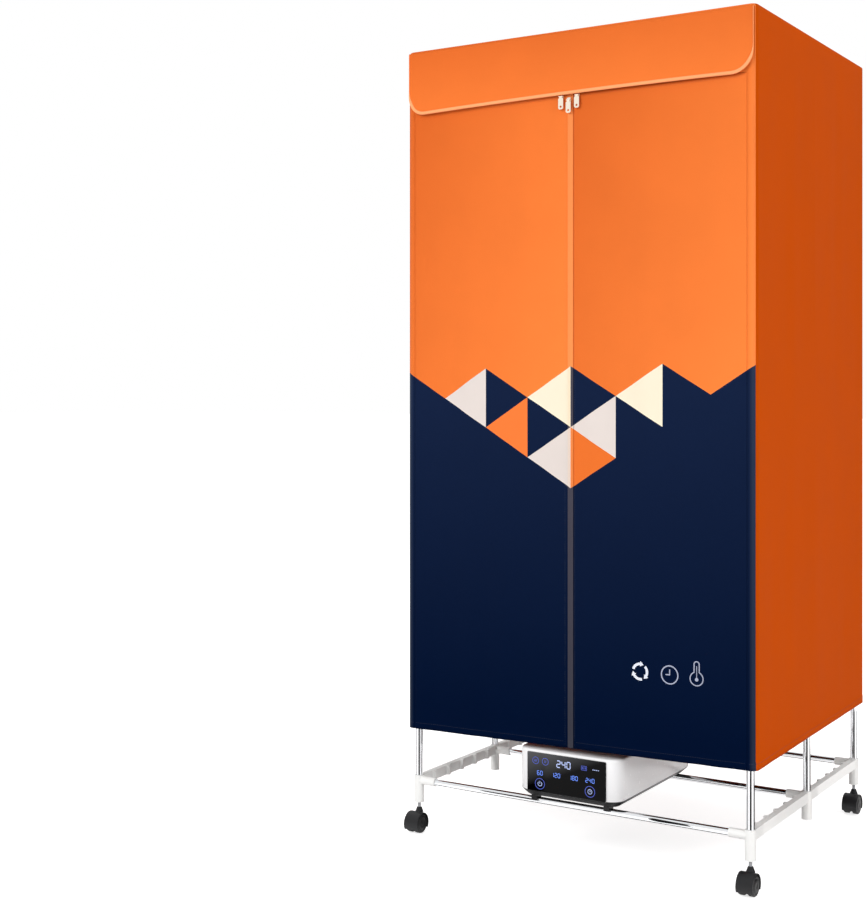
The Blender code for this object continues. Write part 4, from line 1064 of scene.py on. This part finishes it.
for i in (-1, 0, 1):
    panelLine("dim", centre, [(i * 0.003, -0.0018), (i * 0.003, 0.0018)], 0.0011, 3)
centre = panelPoint(0.87, panel["rowBig"] * 1.06)
for i in range(4):
    panelLine("pale", centre, [(i * 0.0035 - 0.0052, 0), (i * 0.0035 - 0.003, 0)], 0.0012, 3)
for tone, (colour, strength, name) in panel["lights"].items():
    light, shader, put, calc, mix, fill = newFinish(tone + " panel light")
    fill(shader, {"Base Color": (0.02, 0.03, 0.06, 1.0), "Roughness": 0.4})
    fill(shader, {"Emission Color": colour, "Emission Strength": strength})
    makePiece(name, lit[tone], light, "heater")
print("control panel ready")


# Copper tracks between plain fields of lacquer
def boardColour(put, calc, mix, place):
    tracks = put("TexBrick", {"Vector": place, "Scale": 160.0, "Mortar Size": 0.06}).outputs[1]
    return mix(tracks, rgb(12, 84, 48), rgb(60, 140, 84))


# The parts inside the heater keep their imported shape
innerFinishes = {
    "control_board": grainedFinish("green circuit board", boardColour, (0.4, 0.1, 500.0, 0.00003)),
    "heating_element": grainedFinish(
        "bare aluminium fins", (0.72, 0.73, 0.75, 1.0), (0.38, 0.15, 500.0, 0.00004), metal
    ),
    "fan_motor": grainedFinish(
        "zinc plated motor", (0.56, 0.57, 0.58, 1.0), (0.34, 0.2, 90.0, 0.00002), metal
    ),
    "fan_impeller": satinBlack,
    "air_duct": satinBlack,
}
for nodeName, finish in innerFinishes.items():
    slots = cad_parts[nodeName].data.materials
    if len(slots):
        slots[0] = finish
    else:
        slots.append(finish)
print("inner parts ready")

# Each panel's box and the flap's mean drop are worked out here, but nothing uses them
for piece, name, partner in ((doorLeft, "door_left", zipPiece), (doorRight, "door_right", symbolPiece)):
    low, high = nodeBox(name)
drop = flapHigh[2] - flapLow[2] + flapHang(np.linspace(-flapHigh[0], flapHigh[0], 41)).mean()

studio = {
    "floorTone": 0.82, "floorGlow": 0.70, "floorHalf": 40.0, "worldLight": 0.59,
    "lamps": {  # place, height aimed at, size and power
        "key lamp": ((-1.6, -3.6, 2.6), 0.8, 2.2, 77.0),
        "fill lamp": ((3.4, -1.2, 1.6), 0.7, 2.0, 42.0),
        "top lamp": ((0.3, 0.6, 3.6), 0.8, 2.4, 12.0),
        "back lamp": ((-1.8, 3.4, 2.2), 0.8, 2.0, 26.0),
    },
}


# 1 where the lens sees a surface by itself, in a mirror or through glass, and 0 for the light it gives
def whiteForLens(put, calc):
    rays = put("LightPath").outputs
    mirrored = calc("MAXIMUM", rays["Is Glossy Ray"], rays["Is Transmission Ray"])
    return calc("MINIMUM", calc("MAXIMUM", rays["Is Camera Ray"], mirrored), 1.0)


# Flat quads of the studio, from a list of their corners
def stageSheet(name, corners, paint):
    mesh = bpy.data.meshes.new(name)
    mesh.from_pydata(corners, [], np.arange(len(corners)).reshape(-1, 4).tolist())
    mesh.materials.append(paint)
    sheet = addObject(name, mesh)
    return sheet


matte = {"Roughness": 0.9, "Specular IOR Level": 0.0}
floorPaint, shader, put, calc, mix, fill = newFinish("pale floor")
white, tone, half = (1.0, 1.0, 1.0, 1.0), studio["floorTone"], studio["floorHalf"]
glow = calc("MULTIPLY", whiteForLens(put, calc), studio["floorGlow"])
fill(shader, {"Base Color": (tone, tone, tone, 1.0), **matte})
fill(shader, {"Emission Color": white, "Emission Strength": glow})
floorCorners = [(x * half, y * half, 0) for x, y in ((-1, -1), (1, -1), (1, 1), (-1, 1))]
stageSheet("studio_floor", floorCorners, floorPaint)

world = bpy.data.worlds.new("white studio")
bpy.context.scene.world = world
world.use_nodes = True
world.node_tree.nodes.clear()
put, calc, mix, fill = nodeTools(world.node_tree)
dimmed = studio["worldLight"]
strength = calc("MULTIPLY_ADD", whiteForLens(put, calc), 1 - dimmed, dimmed)
put("OutputWorld", {0: put("Background", {"Color": white, "Strength": strength}).outputs[0]})

for name, (place, aimHeight, size, power) in studio["lamps"].items():
    lamp = bpy.data.lights.new(name, "AREA")
    lamp.shape, lamp.size, lamp.energy = "DISK", size, power
    thing = addObject(name, lamp)
    thing.location = place
    x, y, z = place
    tilt = math.acos((z - aimHeight) / math.hypot(x, y, z - aimHeight))
    thing.rotation_euler = (tilt, 0, math.atan2(x, -y))
    thing.visible_glossy = False

# Small dark flags beside each lower post, and strips beside two rails, give the chrome its dark lines
flags = {
    "away": 0.22, "low": 0.002, "top": 0.16,
    "turns": {-64: 0.10, -150: 0.045, 30: 0.04, 118: 0.06},  # half width of the flag in each direction
    "strips": (0.004, 0.185),
}
flagPaint, shader, put, calc, mix, fill = newFinish("dark studio flag")
fill(shader, {"Base Color": (0.02, 0.02, 0.02, 1.0), **matte})
flagLow, flagTop = flags["low"], flags["top"]
corners = []
for nodeName in nodeNames:
    if not nodeName.startswith("lower_post"):
        continue
    postX, postY = sum(nodeBox(nodeName))[:2] / 2
    for azimuth, half in flags["turns"].items():
        outX, outY = math.cos(math.radians(azimuth)), math.sin(math.radians(azimuth))
        x, y = postX + outX * flags["away"], postY + outY * flags["away"]
        if abs(x) < halfWidth and abs(y - middleY) < backY - middleY:
            continue  # it would stand under the cabinet
        first, second = (x + outY * half, y - outX * half), (x - outY * half, y + outX * half)
        corners += [(*first, flagLow), (*second, flagLow), (*second, flagTop), (*first, flagTop)]
for rail in ("base_rail_front", "base_rail_rear"):
    low, high = nodeBox(rail)
    near, far = [(low[1] + high[1]) / 2 + reach for reach in flags["strips"]]
    corners += [(x, y, flagLow) for x, y in ((low[0], near), (high[0], near), (high[0], far), (low[0], far))]
studioFlags = stageSheet("studio_flags", corners, flagPaint)
studioFlags.visible_camera = False
studioFlags.visible_diffuse = False
studioFlags.visible_shadow = False
studioFlags.visible_transmission = False

view = {"place": (1.2388, -2.6876, 0.8522), "yaw": 0.56939, "focal": 1489.2, "shift": -61.05, "longSide": 900}
lens = bpy.data.cameras.new("camera")
lens.sensor_width = 36.0
lens.lens = view["focal"] / view["longSide"] * lens.sensor_width
lens.shift_y = view["shift"] / view["longSide"]
camera = addObject("camera", lens)
camera.location = view["place"]
camera.rotation_euler = (quarter, 0, view["yaw"])
bpy.context.scene.camera = camera
bpy.context.scene.view_settings.view_transform = "Standard"

print("scene ready")
